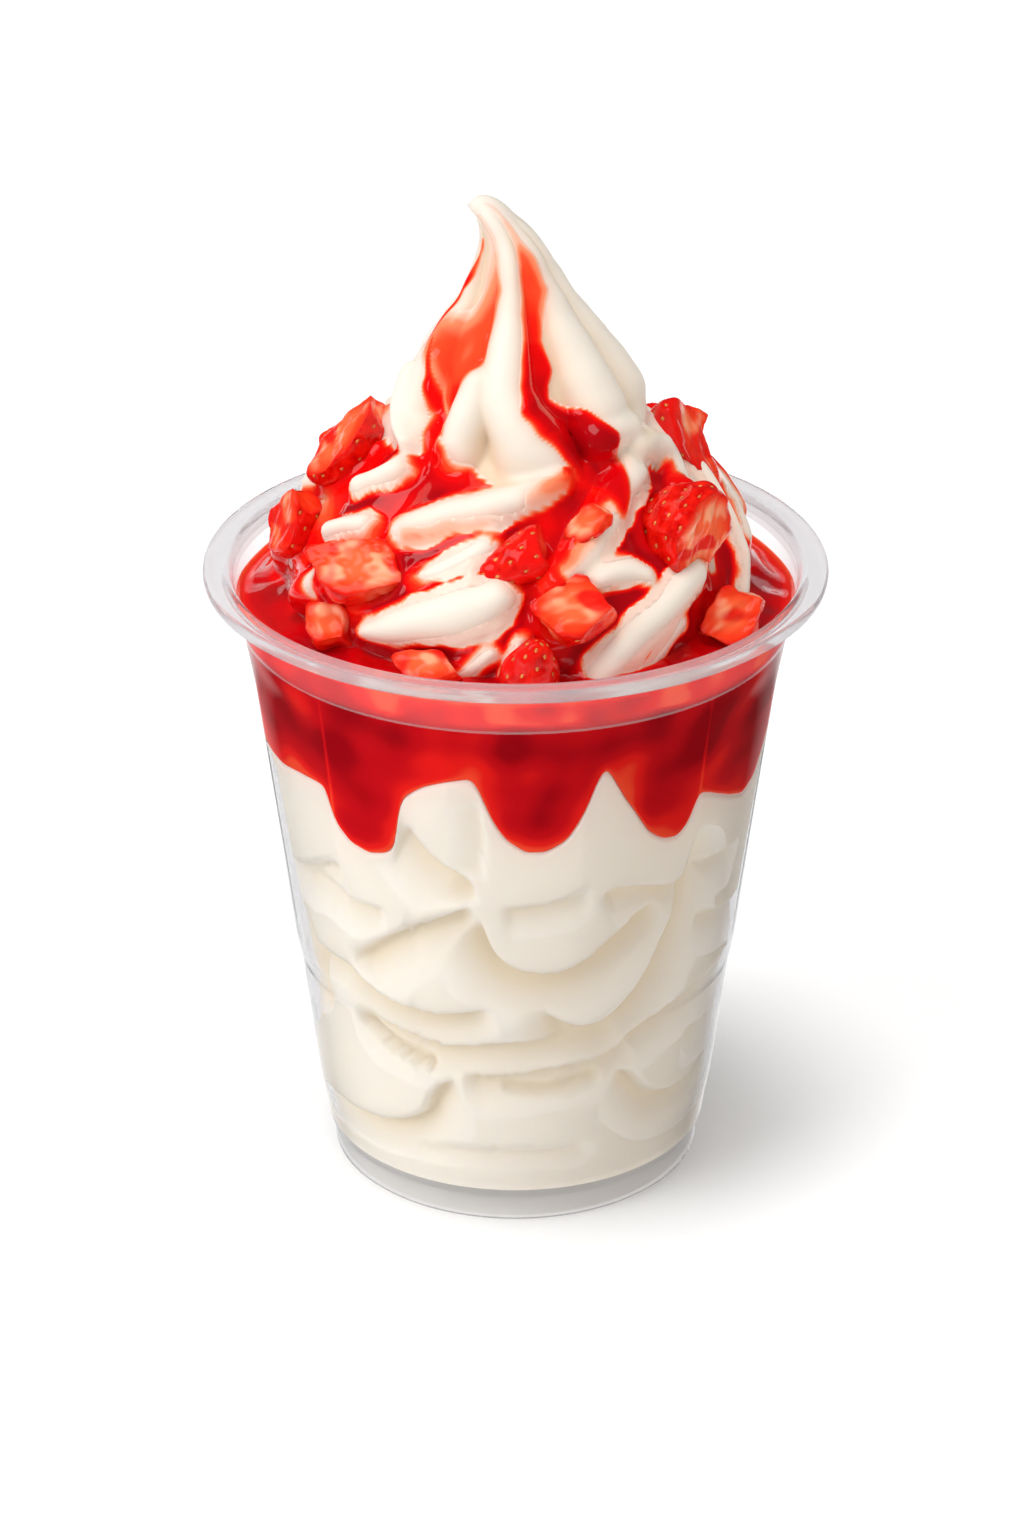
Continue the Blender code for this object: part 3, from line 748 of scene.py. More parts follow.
@dataclass
class CupWall:
    """The shape of the cup's wall, which the soft serve and the sauce follow too."""

    outline: Path = (
        (0, 27.4), (0.5, 27.8), (4.4, 28), (5.2, 28.7), (9, 29.3), (11.5, 29.8), (13.2, 30.1), (33, 32.6),
        (34.6, 33), (36.5, 33.4), (50, 35.2), (64, 37.1), (77, 38.85), (84, 39.8), (87.6, 40.3),
        (88.6, 40.9), (94.6, 42.3),
    )
    wall: float = 0.8
    panels: int = 12
    panel_depth: float = 0.6
    panel_bottom: float = 36.5
    panel_full: float = 80.0
    panel_top: float = 87.2
    panel_arch: float = 5.0
    rounding: float = 0.3

    def __post_init__(self) -> None:
        """Rounds the corners of the outline."""
        self.radius = SmoothTable(self.outline, 1, self.rounding)

    def hollow(self, degrees: np.ndarray, height: np.ndarray) -> np.ndarray:
        """How deep the panels are pressed in: arched at the top, fading out towards the bottom.

        Args:
            degrees: angles from the front.
            height: heights above the table.

        Returns:
            The depth at each place.
        """
        across = np.abs(wrapped(degrees * self.panels) / 180.0)
        top = self.panel_top - self.panel_arch * across**4
        fading = np.clip((height - self.panel_bottom) / (self.panel_full - self.panel_bottom), 0.0, 1.0)
        return self.panel_depth * (1.0 - across**2) * eased(top - height, 0.0, self.panel_arch) * fading

    def outside(self, degrees: np.ndarray, height: np.ndarray) -> np.ndarray:
        """Radius of the outer face."""
        return self.radius(height) - self.hollow(degrees, height)

    def inside(self, degrees: np.ndarray, height: np.ndarray) -> np.ndarray:
        """Radius of the inner face."""
        return self.outside(degrees, height) - self.wall


class Zone(IntEnum):
    """The parts of the cup that have a finish of their own."""

    WALL = 0
    # The rolled lip, and a thin band just under the shoulder whose milky finish is a painted highlight along
    # the step.
    MILKY_LIP_AND_SHOULDER_HIGHLIGHT = 1
    COLLAR = 2
    FOOT = 3


@dataclass
class Cup:
    """The clear cup: recessed floor, fluted wall, shoulder, collar and rolled lip."""

    wall: CupWall
    finish: ClearPlastic = ClearPlastic()
    # The milky finish of the rolled lip; it also covers the thin band under the shoulder, where it is a
    # painted highlight line.
    lip_finish: ClearPlastic = ClearPlastic(
        tint=(0.72, 0.71, 0.72), index=1.17, through=0.80, roughness=0.06, name="clear_cup_thick"
    )
    collar_finish: ClearPlastic = ClearPlastic(
        index=1.15, through=0.95, roughness=0.04, name="clear_cup_collar"
    )
    foot_finish: ClearPlastic = ClearPlastic(
        tint=(0.87, 0.86, 0.85), index=1.1, through=0.86, roughness=0.08, name="clear_cup_foot"
    )
    columns: int = 360
    foot_inner: float = 25.4
    floor_top: float = 5.2
    floor_thickness: float = 1.0
    floor_round: float = 1.2
    collar_top: float = 94.6
    shoulder: float = 88.0
    # Rows: apart on plain stretches, on the panels' arches, and round each turn of the outline.
    plain_step: float = 3.0
    arch_step: float = 0.8
    arch_from: float = 78.0
    turn_step: float = 0.4
    turn_reach: float = 1.2
    turns: tuple[float, ...] = (0.5, 4.8, 12.2, 33.6, 36.2, 88.1, 94.2)
    floor_turns: tuple[float, ...] = (18.0, 40.0, 62.0, 90.0)
    # The rolled lip from the collar's outside over the top to its inside: radius, height.
    lip: Path = (
        (42.3, 94.6), (42.7, 94.85), (43.6, 94.9), (44.8, 94.8), (45.5, 94.85), (45.9, 95.15), (46, 95.6),
        (45.95, 96.1), (45.7, 96.45), (45.3, 96.6), (44.9, 96.5), (44.5, 96.25), (44, 96.2), (43.5, 96.35),
        (43, 96.6), (42.6, 96.6), (42.25, 96.35), (42, 95.8), (41.7, 94.9),
    )

    def heights(self) -> np.ndarray:
        """Heights of the rows: close together where the outline turns, far apart where it is plain.

        Returns:
            The heights, from low to high.
        """
        plain = np.arange(0.5, self.collar_top, self.plain_step)
        arches = np.arange(self.arch_from, self.wall.panel_top + 1.0, self.arch_step)
        turns = [np.arange(z - self.turn_reach, z + self.turn_reach, self.turn_step) for z in self.turns]
        found = np.unique(np.round(np.concatenate([plain, arches, *turns]), 2))
        found = found[(found >= 0.3) & (found <= self.collar_top - 0.1)]
        kept = [found[0]]
        for height in found[1:]:
            if height - kept[-1] >= self.turn_step * 0.7:
                kept.append(height)
        return np.array(kept)

    def rows(self) -> list[np.ndarray]:
        """Every ring of points, from the underside of the floor, up the outside and down the inside.

        Returns:
            The rings, each with one point a column.
        """
        degrees = column_angles(self.columns)
        under = self.floor_top - self.floor_thickness
        foot = self.wall.radius(0.0)
        outline = [(self.foot_inner - 0.5, under), (self.foot_inner, under - 0.5), (self.foot_inner, 0.35)]
        outline += [(self.foot_inner + 0.3, 0.0), (foot - 0.3, 0.0)]
        rows = [ring(radius, height, self.columns) for radius, height in outline]
        heights = self.heights()
        rows += [ring(self.wall.outside(degrees, z), z, self.columns) for z in heights]
        rows += [ring(radius, height, self.columns) for radius, height in self.lip]
        inner = heights[heights > self.floor_top + self.floor_round]
        rows += [ring(self.wall.inside(degrees, z), z, self.columns) for z in inner[::-1]]
        corner = self.wall.inside(degrees, self.floor_top + self.floor_round) - self.floor_round
        for tilt in np.radians(self.floor_turns):
            out, down = self.floor_round * math.cos(tilt), self.floor_round * (1.0 - math.sin(tilt))
            rows.append(ring(corner + out, self.floor_top + down, self.columns))
        return rows

    def zone(self, height: float) -> Zone:
        """The part of the cup that a height on the wall belongs to.

        Args:
            height: of the row of points, above the table.

        Returns:
            The part.
        """
        if height < self.floor_top + 0.4:
            return Zone.FOOT
        # The thin band just under the shoulder takes the milky finish: a painted highlight line.
        if height > self.collar_top - 0.5 or 0.0 < self.shoulder - height < 0.5:
            return Zone.MILKY_LIP_AND_SHOULDER_HIGHLIGHT
        return Zone.COLLAR if height > self.shoulder else Zone.WALL

    def build(self) -> bpy.types.Object:
        """Makes the cup as one closed shell.

        Returns:
            The piece.
        """
        piece = Piece("clear_cup")
        rows = self.rows()
        starts = [piece.add_points(row) for row in rows]
        for low, high, row in zip(starts, starts[1:], rows):
            piece.join_rings(low, self.columns, high, self.columns, self.zone(row[0, 2]))
        under = piece.add_points(np.array([[0.0, 0.0, self.floor_top - self.floor_thickness]]))
        top = piece.add_points(np.array([[0.0, 0.0, self.floor_top]]))
        piece.cap(starts[0], self.columns, under, upward=False)
        piece.cap(starts[-1], self.columns, top, upward=True)
        finishes = (self.finish, self.lip_finish, self.collar_finish, self.foot_finish)
        return ridden(piece.build([finish.material() for finish in finishes]), "clear_cup", "cup")


# ---------------------------------------------------------------------------------------------- swirl


@dataclass(frozen=True)
class Stroke:
    """A line drawn on the swirl or the wall.

    Each point is (degrees, height), with a width scale and a depth of colour after them where it needs them.
    `left` and `right` are the half-widths on either side of the line, and `size` is how high, deep or
    thick it is.
    """

    size: float
    left: float
    right: float
    path: Path
    unstated: float = 1.6

    def read(self, count: int) -> tuple[np.ndarray, ...]:
        """Degrees, heights, width scale and depth of colour at evenly spread points of the path."""
        spare = ((0, 0.0), (1, 0.0), (2, 1.0), (3, self.unstated * self.size))
        return tuple(along_path(self.path, count, value, missing) for value, missing in spare)


@dataclass
class Swirl:
    """The outline of the soft serve above the cup: a mound, a waisted peak and a tip that hooks over."""

    # Height, radius, and how far the centre leans towards +X.
    outline: Path = (
        (86, 34.2, 0), (88, 34.6, 0), (92, 35.6, 0), (96, 35.4, 0), (101, 34.4, 0), (107, 31, 0),
        (111.5, 27, 0.2), (115, 23.5, 0.3), (118, 20.4, 0.4), (121.8, 18.3, 0.6), (124.6, 17.6, 1.2),
        (126.5, 16.8, 1.3), (128.4, 15.6, 1.2), (130.2, 14.6, 0.9), (132.1, 13.2, 0.8), (133.9, 11.9, 0.7),
        (135.8, 10.5, 0.5), (137.6, 9, 0.5), (139.5, 7.9, 0.3), (141.3, 6.95, 0.1), (143.1, 6, -0.2),
        (145, 5.2, -0.4), (146.8, 4.35, -0.8), (148.6, 3.6, -1.6), (150.4, 2.85, -2.9), (151.2, 2.4, -3.6),
        (152, 2, -4.45), (152.6, 1.7, -5.15), (153.1, 1.4, -5.8), (153.4, 0.95, -6.35),
    )
    # Near the tip the centre's own height, and how far the rings tilt, in degrees.
    hook: Path = (
        (86, 86, 0), (149.4, 149.4, 0), (150.4, 150.4, 8), (151.2, 151.15, 20), (152, 151.7, 38),
        (152.6, 151.95, 55), (153.1, 151.95, 72), (153.4, 151.8, 85),
    )
    pole: Triple = (-6.95, 0.0, 151.8)
    foot: float = 88.5
    waist: float = 119.0
    top: float = 153.4
    rounding: float = 0.6
    hook_rounding: Span = (0.2, 0.3)
    slope_step: float = 0.4

    def __post_init__(self) -> None:
        """Rounds the corners of the outline."""
        self.radius = SmoothTable(self.outline, 1, self.rounding)
        self.lean = SmoothTable(self.outline, 2, self.rounding)
        self.rise = SmoothTable(self.hook, 1, self.hook_rounding[0])
        self.tilt = SmoothTable(self.hook, 2, self.hook_rounding[1])

    def surface(self, degrees: np.ndarray, height: np.ndarray) -> tuple[np.ndarray, np.ndarray]:
        """Points of the outline and the directions that face out of it.

        Args:
            degrees: angles from the front.
            height: heights on the outline.

        Returns:
            The points and the directions.
        """
        degrees, height = np.broadcast_arrays(np.asarray(degrees, float), np.asarray(height, float))
        turn, tilt = np.radians(degrees), np.radians(self.tilt(height))
        radius = self.radius(height)
        step = self.slope_step
        slope = (self.radius(height + step) - self.radius(height - step)) / (2.0 * step)
        zero = np.zeros_like(turn)
        right = np.stack([np.cos(tilt), zero, np.sin(tilt)], axis=-1)
        up = np.stack([-np.sin(tilt), zero, np.cos(tilt)], axis=-1)
        front = np.array([0.0, -1.0, 0.0])
        flat = right * np.sin(turn)[..., None] + front * np.cos(turn)[..., None]
        centre = np.stack([self.lean(height), zero, self.rise(height)], axis=-1)
        out = flat - up * slope[..., None]
        out /= np.linalg.norm(out, axis=-1, keepdims=True)
        return centre + flat * radius[..., None], out

    def beside(self, stroke: Stroke, points: np.ndarray, out: np.ndarray,
               count: int) -> tuple[Reach, np.ndarray, np.ndarray]:
        """Measures points of the outline against a stroke.

        Args:
            stroke: the stroke.
            points: points of the outline.
            out: the outward direction at each.
            count: how many points the stroke's line gets.

        Returns:
            How they lie to it, and its half-width and depth of colour beside each of them.
        """
        degrees, heights, scale, tint = stroke.read(count)
        near = reach_of(points, self.surface(degrees, heights)[0], out)
        at = np.linspace(0.0, 1.0, count)
        half = np.where(near.side > 0, stroke.left, stroke.right) * np.interp(near.along, at, scale)
        return near, half, np.interp(near.along, at, tint)


@dataclass(frozen=True)
class SwirlShape:
    """The ridges and lobes of the soft serve above the cup."""

    # Lift above the outline, half-width above and below the line, and its path, all rising to the right.
    mound: tuple[Stroke, ...] = (
        Stroke(1.2, 2.7, 2.7, ((-66, 113.2), (-61, 114.4), (-57, 115.8), (-54, 117))),
        Stroke(1, 2.5, 2.6, ((-63, 107.6), (-58, 108.9), (-52, 110.2))),
        Stroke(1.3, 2.4, 2.4, ((-88, 127.4, 0.5), (-86, 125.4, 0.9), (-80, 123.3, 1.1), (-70, 121.2),
               (-58, 119.8, 0.8))),
        Stroke(1.4, 3.6, 3.6, ((-37, 111.2, 0.85), (-30, 112.5), (-22, 113.9, 1.05), (-13, 114.9),
               (-6, 115.6, 0.95), (1, 116.3, 0.85), (8, 116.9, 0.7), (18, 117.8, 0.5))),
        Stroke(0.4, 2.7, 2.8, ((-26, 106.4), (-20, 108), (-13, 110.2), (-9, 111.3))),
        Stroke(1.8, 4.6, 4.8, ((-38, 97.8, 0.4), (-32, 99.2, 0.6), (-28, 100.2, 0.75), (-25, 101, 0.85),
               (-20, 102, 0.95), (-16, 102.7, 1.05), (-12, 103.5, 1.1), (-8, 104.4, 1), (-5, 105.2, 0.8))),
        Stroke(0.3, 2.2, 2.3, ((-17, 93), (-12, 94.7), (-9, 95.9), (-6, 97.6))),
        Stroke(0.2, 1.5, 1.6, ((-2, 93.4), (-1, 96.3), (1, 99.4))),
        Stroke(1.2, 4.2, 3, ((12, 106.8, 0.8), (17, 108.3, 0.9), (21, 109.7), (25, 111.3), (30, 112.7),
               (36, 114.1), (44, 115.9, 0.9), (50, 117.2, 0.8))),
        Stroke(1.2, 2.9, 3.1, ((21, 106.2, 0.8), (24, 106.9), (28, 107.1), (32, 106.9), (36, 105.6, 0.8))),
        Stroke(1.8, 3.5, 3.9, ((19, 92.8, 1.1), (24, 96.3, 1.15), (29, 98.5, 1.15), (34, 100.2, 1.1),
               (38, 101.4), (44, 102.7), (51, 103.9, 0.95))),
        Stroke(0.6, 2.6, 2.7, ((28, 91.2), (33, 94.6), (37, 96.5), (42, 98.4))),
        Stroke(0.8, 2.3, 2.5, ((64, 92.8), (69, 96.1), (74, 98.6), (78, 102), (80, 105.3), (84, 109),
               (92, 112))),
        Stroke(0.4, 3.2, 3.4, ((88, 101), (98, 104), (110, 108), (122, 111))),
        Stroke(0, 2.8, 3, ((-67, 97), (-61, 100.5), (-56, 104))),
        Stroke(0.2, 3.2, 3.4, ((70, 112.6), (82, 115.6), (96, 118))),
        Stroke(1.5, 3.3, 3.3, ((42, 121.6), (52, 121.8), (60, 121.4))),
        Stroke(1.5, 3.4, 3.4, ((60, 118.6), (70, 118.4), (78, 117))),
        Stroke(1.2, 2.8, 2.8, ((45, 115.6), (52, 116.4))),
    )
    mound_rise: float = 3.0
    mound_line: int = 20
    # Behind, ridges by rule: from one angle to the other, one every `back_step` degrees.
    back_from: float = 98.0
    back_to: float = 266.0
    back_step: float = 24.0
    back_climb: float = 0.21
    back_low: float = 90.0
    back_high: float = 117.5
    back_half: float = 3.5
    back_points: int = 14
    # Each sways by this many degrees, differently from ridge to ridge and over this many millimetres.
    back_sway: Triple = (4.0, 1.7, 5.0)
    back_lifts: Triple = (0.9, 0.1, 0.5)
    back_widths: Triple = (1.0, 0.8, 1.2)
    back_gaps: tuple[float, ...] = (1.0, 0.85, 1.15, 1.0)
    # Half-width as a share of the radius, and the path of each ridge of the peak from the top down.
    peak: tuple[tuple[float, Path], ...] = (
        (0.30, ((-14, 151), (-12, 148), (-10, 145), (-10, 140.5), (-11, 134.5), (-12, 129), (-5, 125.6),
            (5.7, 122.2), (15, 119.2))),
        (0.36, ((38, 149), (45, 144), (50, 139), (50, 134.8), (49.3, 131), (49.6, 127.7), (49.3, 123.8))),
        (0.34, ((80, 149), (82, 144), (84, 139), (85, 133), (86, 127), (87, 121.6))),
        (0.30, ((-95, 149), (-90, 144), (-88, 138), (-84, 133), (-80, 127), (-74, 121), (-60, 118.6))),
        (0.20, ((-30, 130), (-33, 126.5), (-34, 121))),
        (0.36, ((122, 149), (124, 140), (128, 130), (134, 120.5))),
        (0.38, ((165, 149), (168, 140), (172, 130), (180, 120.5))),
        (0.38, ((208, 149), (212, 140), (218, 130), (228, 120.5))),
        (0.34, ((246, 149), (250, 140), (256, 130), (266, 120.5))),
    )
    peak_rise: float = 0.23
    peak_line: int = 28
    peak_margin: float = 0.3
    tip_fade: float = 0.6
    tip_span: Span = (140.0, 150.0)
    # Over this height on both sides of the waist the mound turns into the peak.
    blend: float = 3.0
    roundness: float = 0.65

    def back(self) -> Iterable[Stroke]:
        """The ridges behind.

        Returns:
            Each ridge in turn.
        """
        start = self.back_from - (self.back_high - self.back_low) / self.back_climb
        sway, change, length = self.back_sway
        number = 0
        while start < self.back_to:
            heights = np.linspace(self.back_low, self.back_high, self.back_points)
            degrees = start + (heights - self.back_low) / self.back_climb
            degrees = degrees + sway * np.sin(change * number + heights / length)
            kept = [(d, z) for d, z in zip(degrees, heights) if self.back_from <= d <= self.back_to]
            if len(kept) > 2:
                half = self.back_half * self.back_widths[number % 3]
                yield Stroke(self.back_lifts[number % 3], half, half, tuple(kept))
            start += self.back_step * self.back_gaps[number % 4]
            number += 1

    def bulge(self, away: np.ndarray, half: np.ndarray) -> np.ndarray:
        """The rounded section of a ridge, from 0 at its edge to 1 on its line."""
        return np.clip(1.0 - (away / half) ** 2, 0.0, 1.0) ** self.roundness

    def mound_relief(self, swirl: Swirl, points: np.ndarray,
                     out: np.ndarray) -> tuple[np.ndarray, np.ndarray]:
        """The ridges of the mound.

        Args:
            swirl: the outline.
            points: points of the outline.
            out: the outward direction at each.

        Returns:
            How much each point is lifted as a share of the mound's rise, and how near a crest it is.
        """
        relief = np.zeros(len(points))
        lift = np.zeros(len(points))
        for stroke in (*self.mound, *self.back()):
            near, half, _ = swirl.beside(stroke, points, out, self.mound_line)
            here = self.bulge(near.away, half)
            lift = np.maximum(lift, here * (1.0 + stroke.size / self.mound_rise))
            relief = np.maximum(relief, here)
        return lift, relief

    def peak_relief(self, swirl: Swirl, points: np.ndarray, out: np.ndarray,
                    heights: np.ndarray) -> np.ndarray:
        """The ridges of the peak.

        Args:
            swirl: the outline.
            points: points of the outline.
            out: the outward direction at each.
            heights: the height of each on the outline.

        Returns:
            How near a crest each point is, from 0 to 1.
        """
        relief = np.zeros(len(points))
        for wide, path in self.peak:
            near, _, _ = swirl.beside(Stroke(1.0, 1.0, 1.0, path), points, out, self.peak_line)
            half = wide * swirl.radius(heights) + self.peak_margin
            relief = np.maximum(relief, self.bulge(near.away, half))
        return relief

    def push(self, swirl: Swirl, points: np.ndarray, out: np.ndarray,
             heights: np.ndarray) -> tuple[np.ndarray, np.ndarray]:
        """Shapes the outline.

        Args:
            swirl: the outline.
            points: points of the outline.
            out: the outward direction at each.
            heights: the height of each on the outline.

        Returns:
            How far each point moves out, and how deep in a hollow it is (0 to 1), for the painted shade.
        """
        lift, relief = self.mound_relief(swirl, points, out)
        on_peak = self.peak_relief(swirl, points, out, heights)
        share = eased(heights, swirl.waist - self.blend, swirl.waist + self.blend)
        shallow = 1.0 - self.tip_fade * eased(heights, *self.tip_span)
        peak_push = (on_peak - 1.0) * self.peak_rise * shallow * swirl.radius(heights)
        lower = np.maximum((lift - 1.0) * self.mound_rise, -self.mound_rise)
        push = lower * (1.0 - share) + np.maximum(peak_push, np.where(lift > 0.5, lower, -99.0)) * share
        # Hollowness for the painted shade: 1 between the ridges, 0 on their crests.
        hollow = 1.0 - np.maximum(relief * (1.0 - share), on_peak)
        return push, np.clip(hollow, 0.0, 1.0)


@dataclass(frozen=True)
class Fold:
    """Where one ribbon of soft serve lies over the next against the wall.

    The lower ribbon dips by `depth` beside the edge and comes back to the wall over `reach`. `shade` is +1
    where it lies to the left of the path, and -1 where it lies to the right.
    """

    depth: float
    reach: float
    shade: int
    path: Path


@dataclass(frozen=True)
class WallFolds:
    """The folds of the soft serve that show through the cup."""

    edge: float = 0.8
    wide: float = 1.25
    deep: float = 1.6
    # The dip's section: its power and its rate, and the shares of its length that it fades over at both ends.
    section: Span = (1.4, 1.2)
    start_span: Span = (0.0, 0.14)
    end_span: Span = (0.86, 1.0)
    pit_power: float = 1.3
    line_density: int = 6
    line_rounds: int = 6
    front: tuple[Fold, ...] = (
        Fold(2, 3.4, -1, ((-46.9, 42.2), (-37.7, 46.9), (-26.6, 51.6), (-17.1, 54.5), (-9.6, 57.4))),
        Fold(2, 3.2, -1, ((-73, 40.6), (-56.8, 41), (-47.3, 40.9), (-43.9, 39.3), (-36.4, 37.4),
             (-28.7, 36.6), (-20.1, 36.7), (-10.5, 38.1), (-4, 39.3))),
        Fold(2.4, 3.6, -1, ((-8.3, 56), (-7.8, 52.5), (-6.2, 49.4), (-3.4, 47.2), (1.1, 45.6), (7.4, 44.8),
             (13.7, 45.3), (19.2, 47.2), (25.1, 50), (31.6, 53), (39.6, 55.3))),
        Fold(1.2, 2.4, 1, ((17.6, 59.4), (11.7, 58.2), (4.6, 57.1), (-3.7, 57.1))),
        Fold(2.2, 3.6, -1, ((5.2, 40.6), (7.2, 38.6), (9.5, 37), (15.9, 34.6), (22.8, 34.9), (28.9, 37.2),
             (35.2, 41.7), (39.5, 47), (42.9, 52.4), (44.6, 59), (47.5, 66))),
        Fold(1.7, 4, 1, ((-9, 57.6), (-9.8, 59.3), (-11.5, 61.7), (-18.1, 63.9), (-22.7, 66.8),
             (-26.3, 70.1))),
        Fold(0.7, 2.6, -1, ((-7.8, 75.7), (-7.3, 68.9), (-7.8, 61.9))),
        Fold(1.6, 3, -1, ((19.8, 57.6), (25.3, 58.8), (33.7, 57.7), (40.7, 56.3), (43.9, 58))),
        Fold(1.3, 3, -1, ((43.8, 59.7), (50, 58.2), (58.8, 57.5), (67.5, 57.4))),
        Fold(1.7, 3.2, 1, ((76, 37.4), (66, 36.8), (58.5, 36.2), (45.1, 34.5), (35.8, 32.5), (27.3, 29.8))),
        Fold(1.7, 3.4, 1, ((35.6, 33.5), (23.2, 33.3), (11.9, 33.3), (-4.2, 32.4), (-18, 31), (-26.8, 31.3),
             (-37.9, 32.6), (-50.8, 33.2))),
        Fold(1.6, 3, -1, ((-17, 26.2), (-9.9, 26.1), (-1.5, 26.6), (9.5, 27.6), (22.3, 27.9), (28.3, 29.3),
             (36, 31.5))),
        Fold(2, 3, -1, ((-20.5, 26.3), (-25.9, 26.9), (-35.5, 27.9), (-43.2, 30.1), (-49.4, 32))),
        Fold(1.8, 3.2, -1, ((-78, 12), (-66.7, 13.3), (-53.9, 13.4), (-42.3, 14.1), (-32.5, 15.8),
             (-26, 18.6), (-24.4, 21.6), (-20.1, 24.5), (-14.1, 25.8))),
        Fold(1.8, 3.2, -1, ((26.6, 26.4), (31, 25.2), (34.8, 23.8), (38.3, 21), (43.5, 18.6), (52.7, 17.7),
             (63, 17.9), (71.2, 20.1), (80, 24))),
        Fold(1.2, 2.6, 1, ((-44.6, 59.5), (-52.7, 57.5), (-64, 54), (-74, 52))),
        Fold(1.3, 2.8, -1, ((-68.7, 51.9), (-60, 54), (-51.6, 54.7), (-44.1, 53.2), (-32, 53.6))),
        Fold(0.7, 2.2, -1, ((-37.1, 11.6), (-20, 12.8), (-4.6, 13.4), (12, 13.2), (25.9, 12.5))),
        Fold(1.4, 3, -1, ((50, 50), (60, 47), (72, 46), (84, 48))),
        Fold(1.3, 3, -1, ((52, 28), (62, 27), (74, 29), (86, 33))),
    )
    # Hollows that are the same on both sides: depth, half-width, path.
    pits: tuple[Stroke, ...] = (
        Stroke(2.6, 2, 2, ((-2, 24.9), (7.4, 24.2), (15.3, 24.6), (22, 25.6))),
        Stroke(4.2, 5, 5, ((-70, 42), (-68, 37), (-66, 33))),
        Stroke(0.6, 2, 2, ((-40, 29.6), (-33, 29.4), (-28, 28.8))),
        Stroke(2, 14, 14, ((-92, 78), (-91, 62), (-90, 46), (-88, 34))),
        Stroke(1.6, 12, 12, ((93, 76), (92, 62), (92, 48), (91, 36))),
    )
    # Behind, folds by rule: the first angle and height of each.
    back: tuple[tuple[float, float], ...] = (
        (84, 22), (96, 34), (110, 48), (128, 16), (140, 58), (150, 30), (176, 42), (188, 20), (204, 54),
        (216, 32), (232, 16),
    )
    back_span: float = 46.0
    back_climb: float = 11.0
    back_points: int = 7
    back_bend: Triple = (1.5, 0.5, 2.4)
    back_depth: float = 1.9
    back_reach: float = 3.2

    def folds(self) -> Iterable[Fold]:
        """Every fold, in front and behind.

        Returns:
            Each fold in turn.
        """
        yield from self.front
        usual, change, turn = self.back_bend
        for number, (degrees, height) in enumerate(self.back):
            steps = np.linspace(0.0, 1.0, self.back_points)
            bend = usual + change * math.sin(turn * number)
            path = tuple((degrees + self.back_span * s, height + self.back_climb * s**bend) for s in steps)
            yield Fold(self.back_depth, self.back_reach, -1, path)

    def depth(self, wall: CupWall, points: np.ndarray, out: np.ndarray) -> np.ndarray:
        """How far the soft serve stands back from the wall at each point.

        Args:
            wall: the wall that it lies against.
            points: points on the inner face of the wall.
            out: the outward direction at each.

        Returns:
            One depth a point.
        """
        depth = np.zeros(len(points))
        power, rate = self.section
        for fold in self.folds():
            near = reach_of(points, self._line(wall, fold.path), out)
            across = near.away * near.side * fold.shade
            gentle = np.exp(-((np.maximum(across, 0.0) / (fold.reach * self.wide)) ** power) * rate)
            crisp = 1.0 - np.sqrt(np.clip(1.0 - np.clip(1.0 + across / self.edge, 0.0, 1.0) ** 2, 0.0, 1.0))
            ends = eased(near.along, *self.start_span) * (1.0 - eased(near.along, *self.end_span))
            past = np.where((near.along <= 0.0) | (near.along >= 1.0), 0.0, 1.0)
            here = self.deep * fold.depth * np.where(across >= 0.0, gentle, crisp) * ends * past
            depth = np.maximum(depth, here)
        for pit in self.pits:
            near = reach_of(points, self._line(wall, pit.path), out)
            here = pit.size * np.clip(1.0 - (near.away / pit.left) ** 2, 0.0, 1.0) ** self.pit_power
            depth = np.maximum(depth, here)
        return depth

    def _line(self, wall: CupWall, path: Path) -> np.ndarray:
        """The points of a path on the inner face of the wall, with its corners rounded.

        Args:
            wall: the wall.
            path: angles and heights.

        Returns:
            Rows of x, y and z.
        """
        degrees, heights = (along_path(path, self.line_density * len(path), value) for value in (0, 1))
        for _ in range(self.line_rounds):
            degrees[1:-1] = (degrees[:-2] + 2.0 * degrees[1:-1] + degrees[2:]) / 4.0
            heights[1:-1] = (heights[:-2] + 2.0 * heights[1:-1] + heights[2:]) / 4.0
        return round_axis(degrees, wall.radius(heights) - wall.wall, heights)


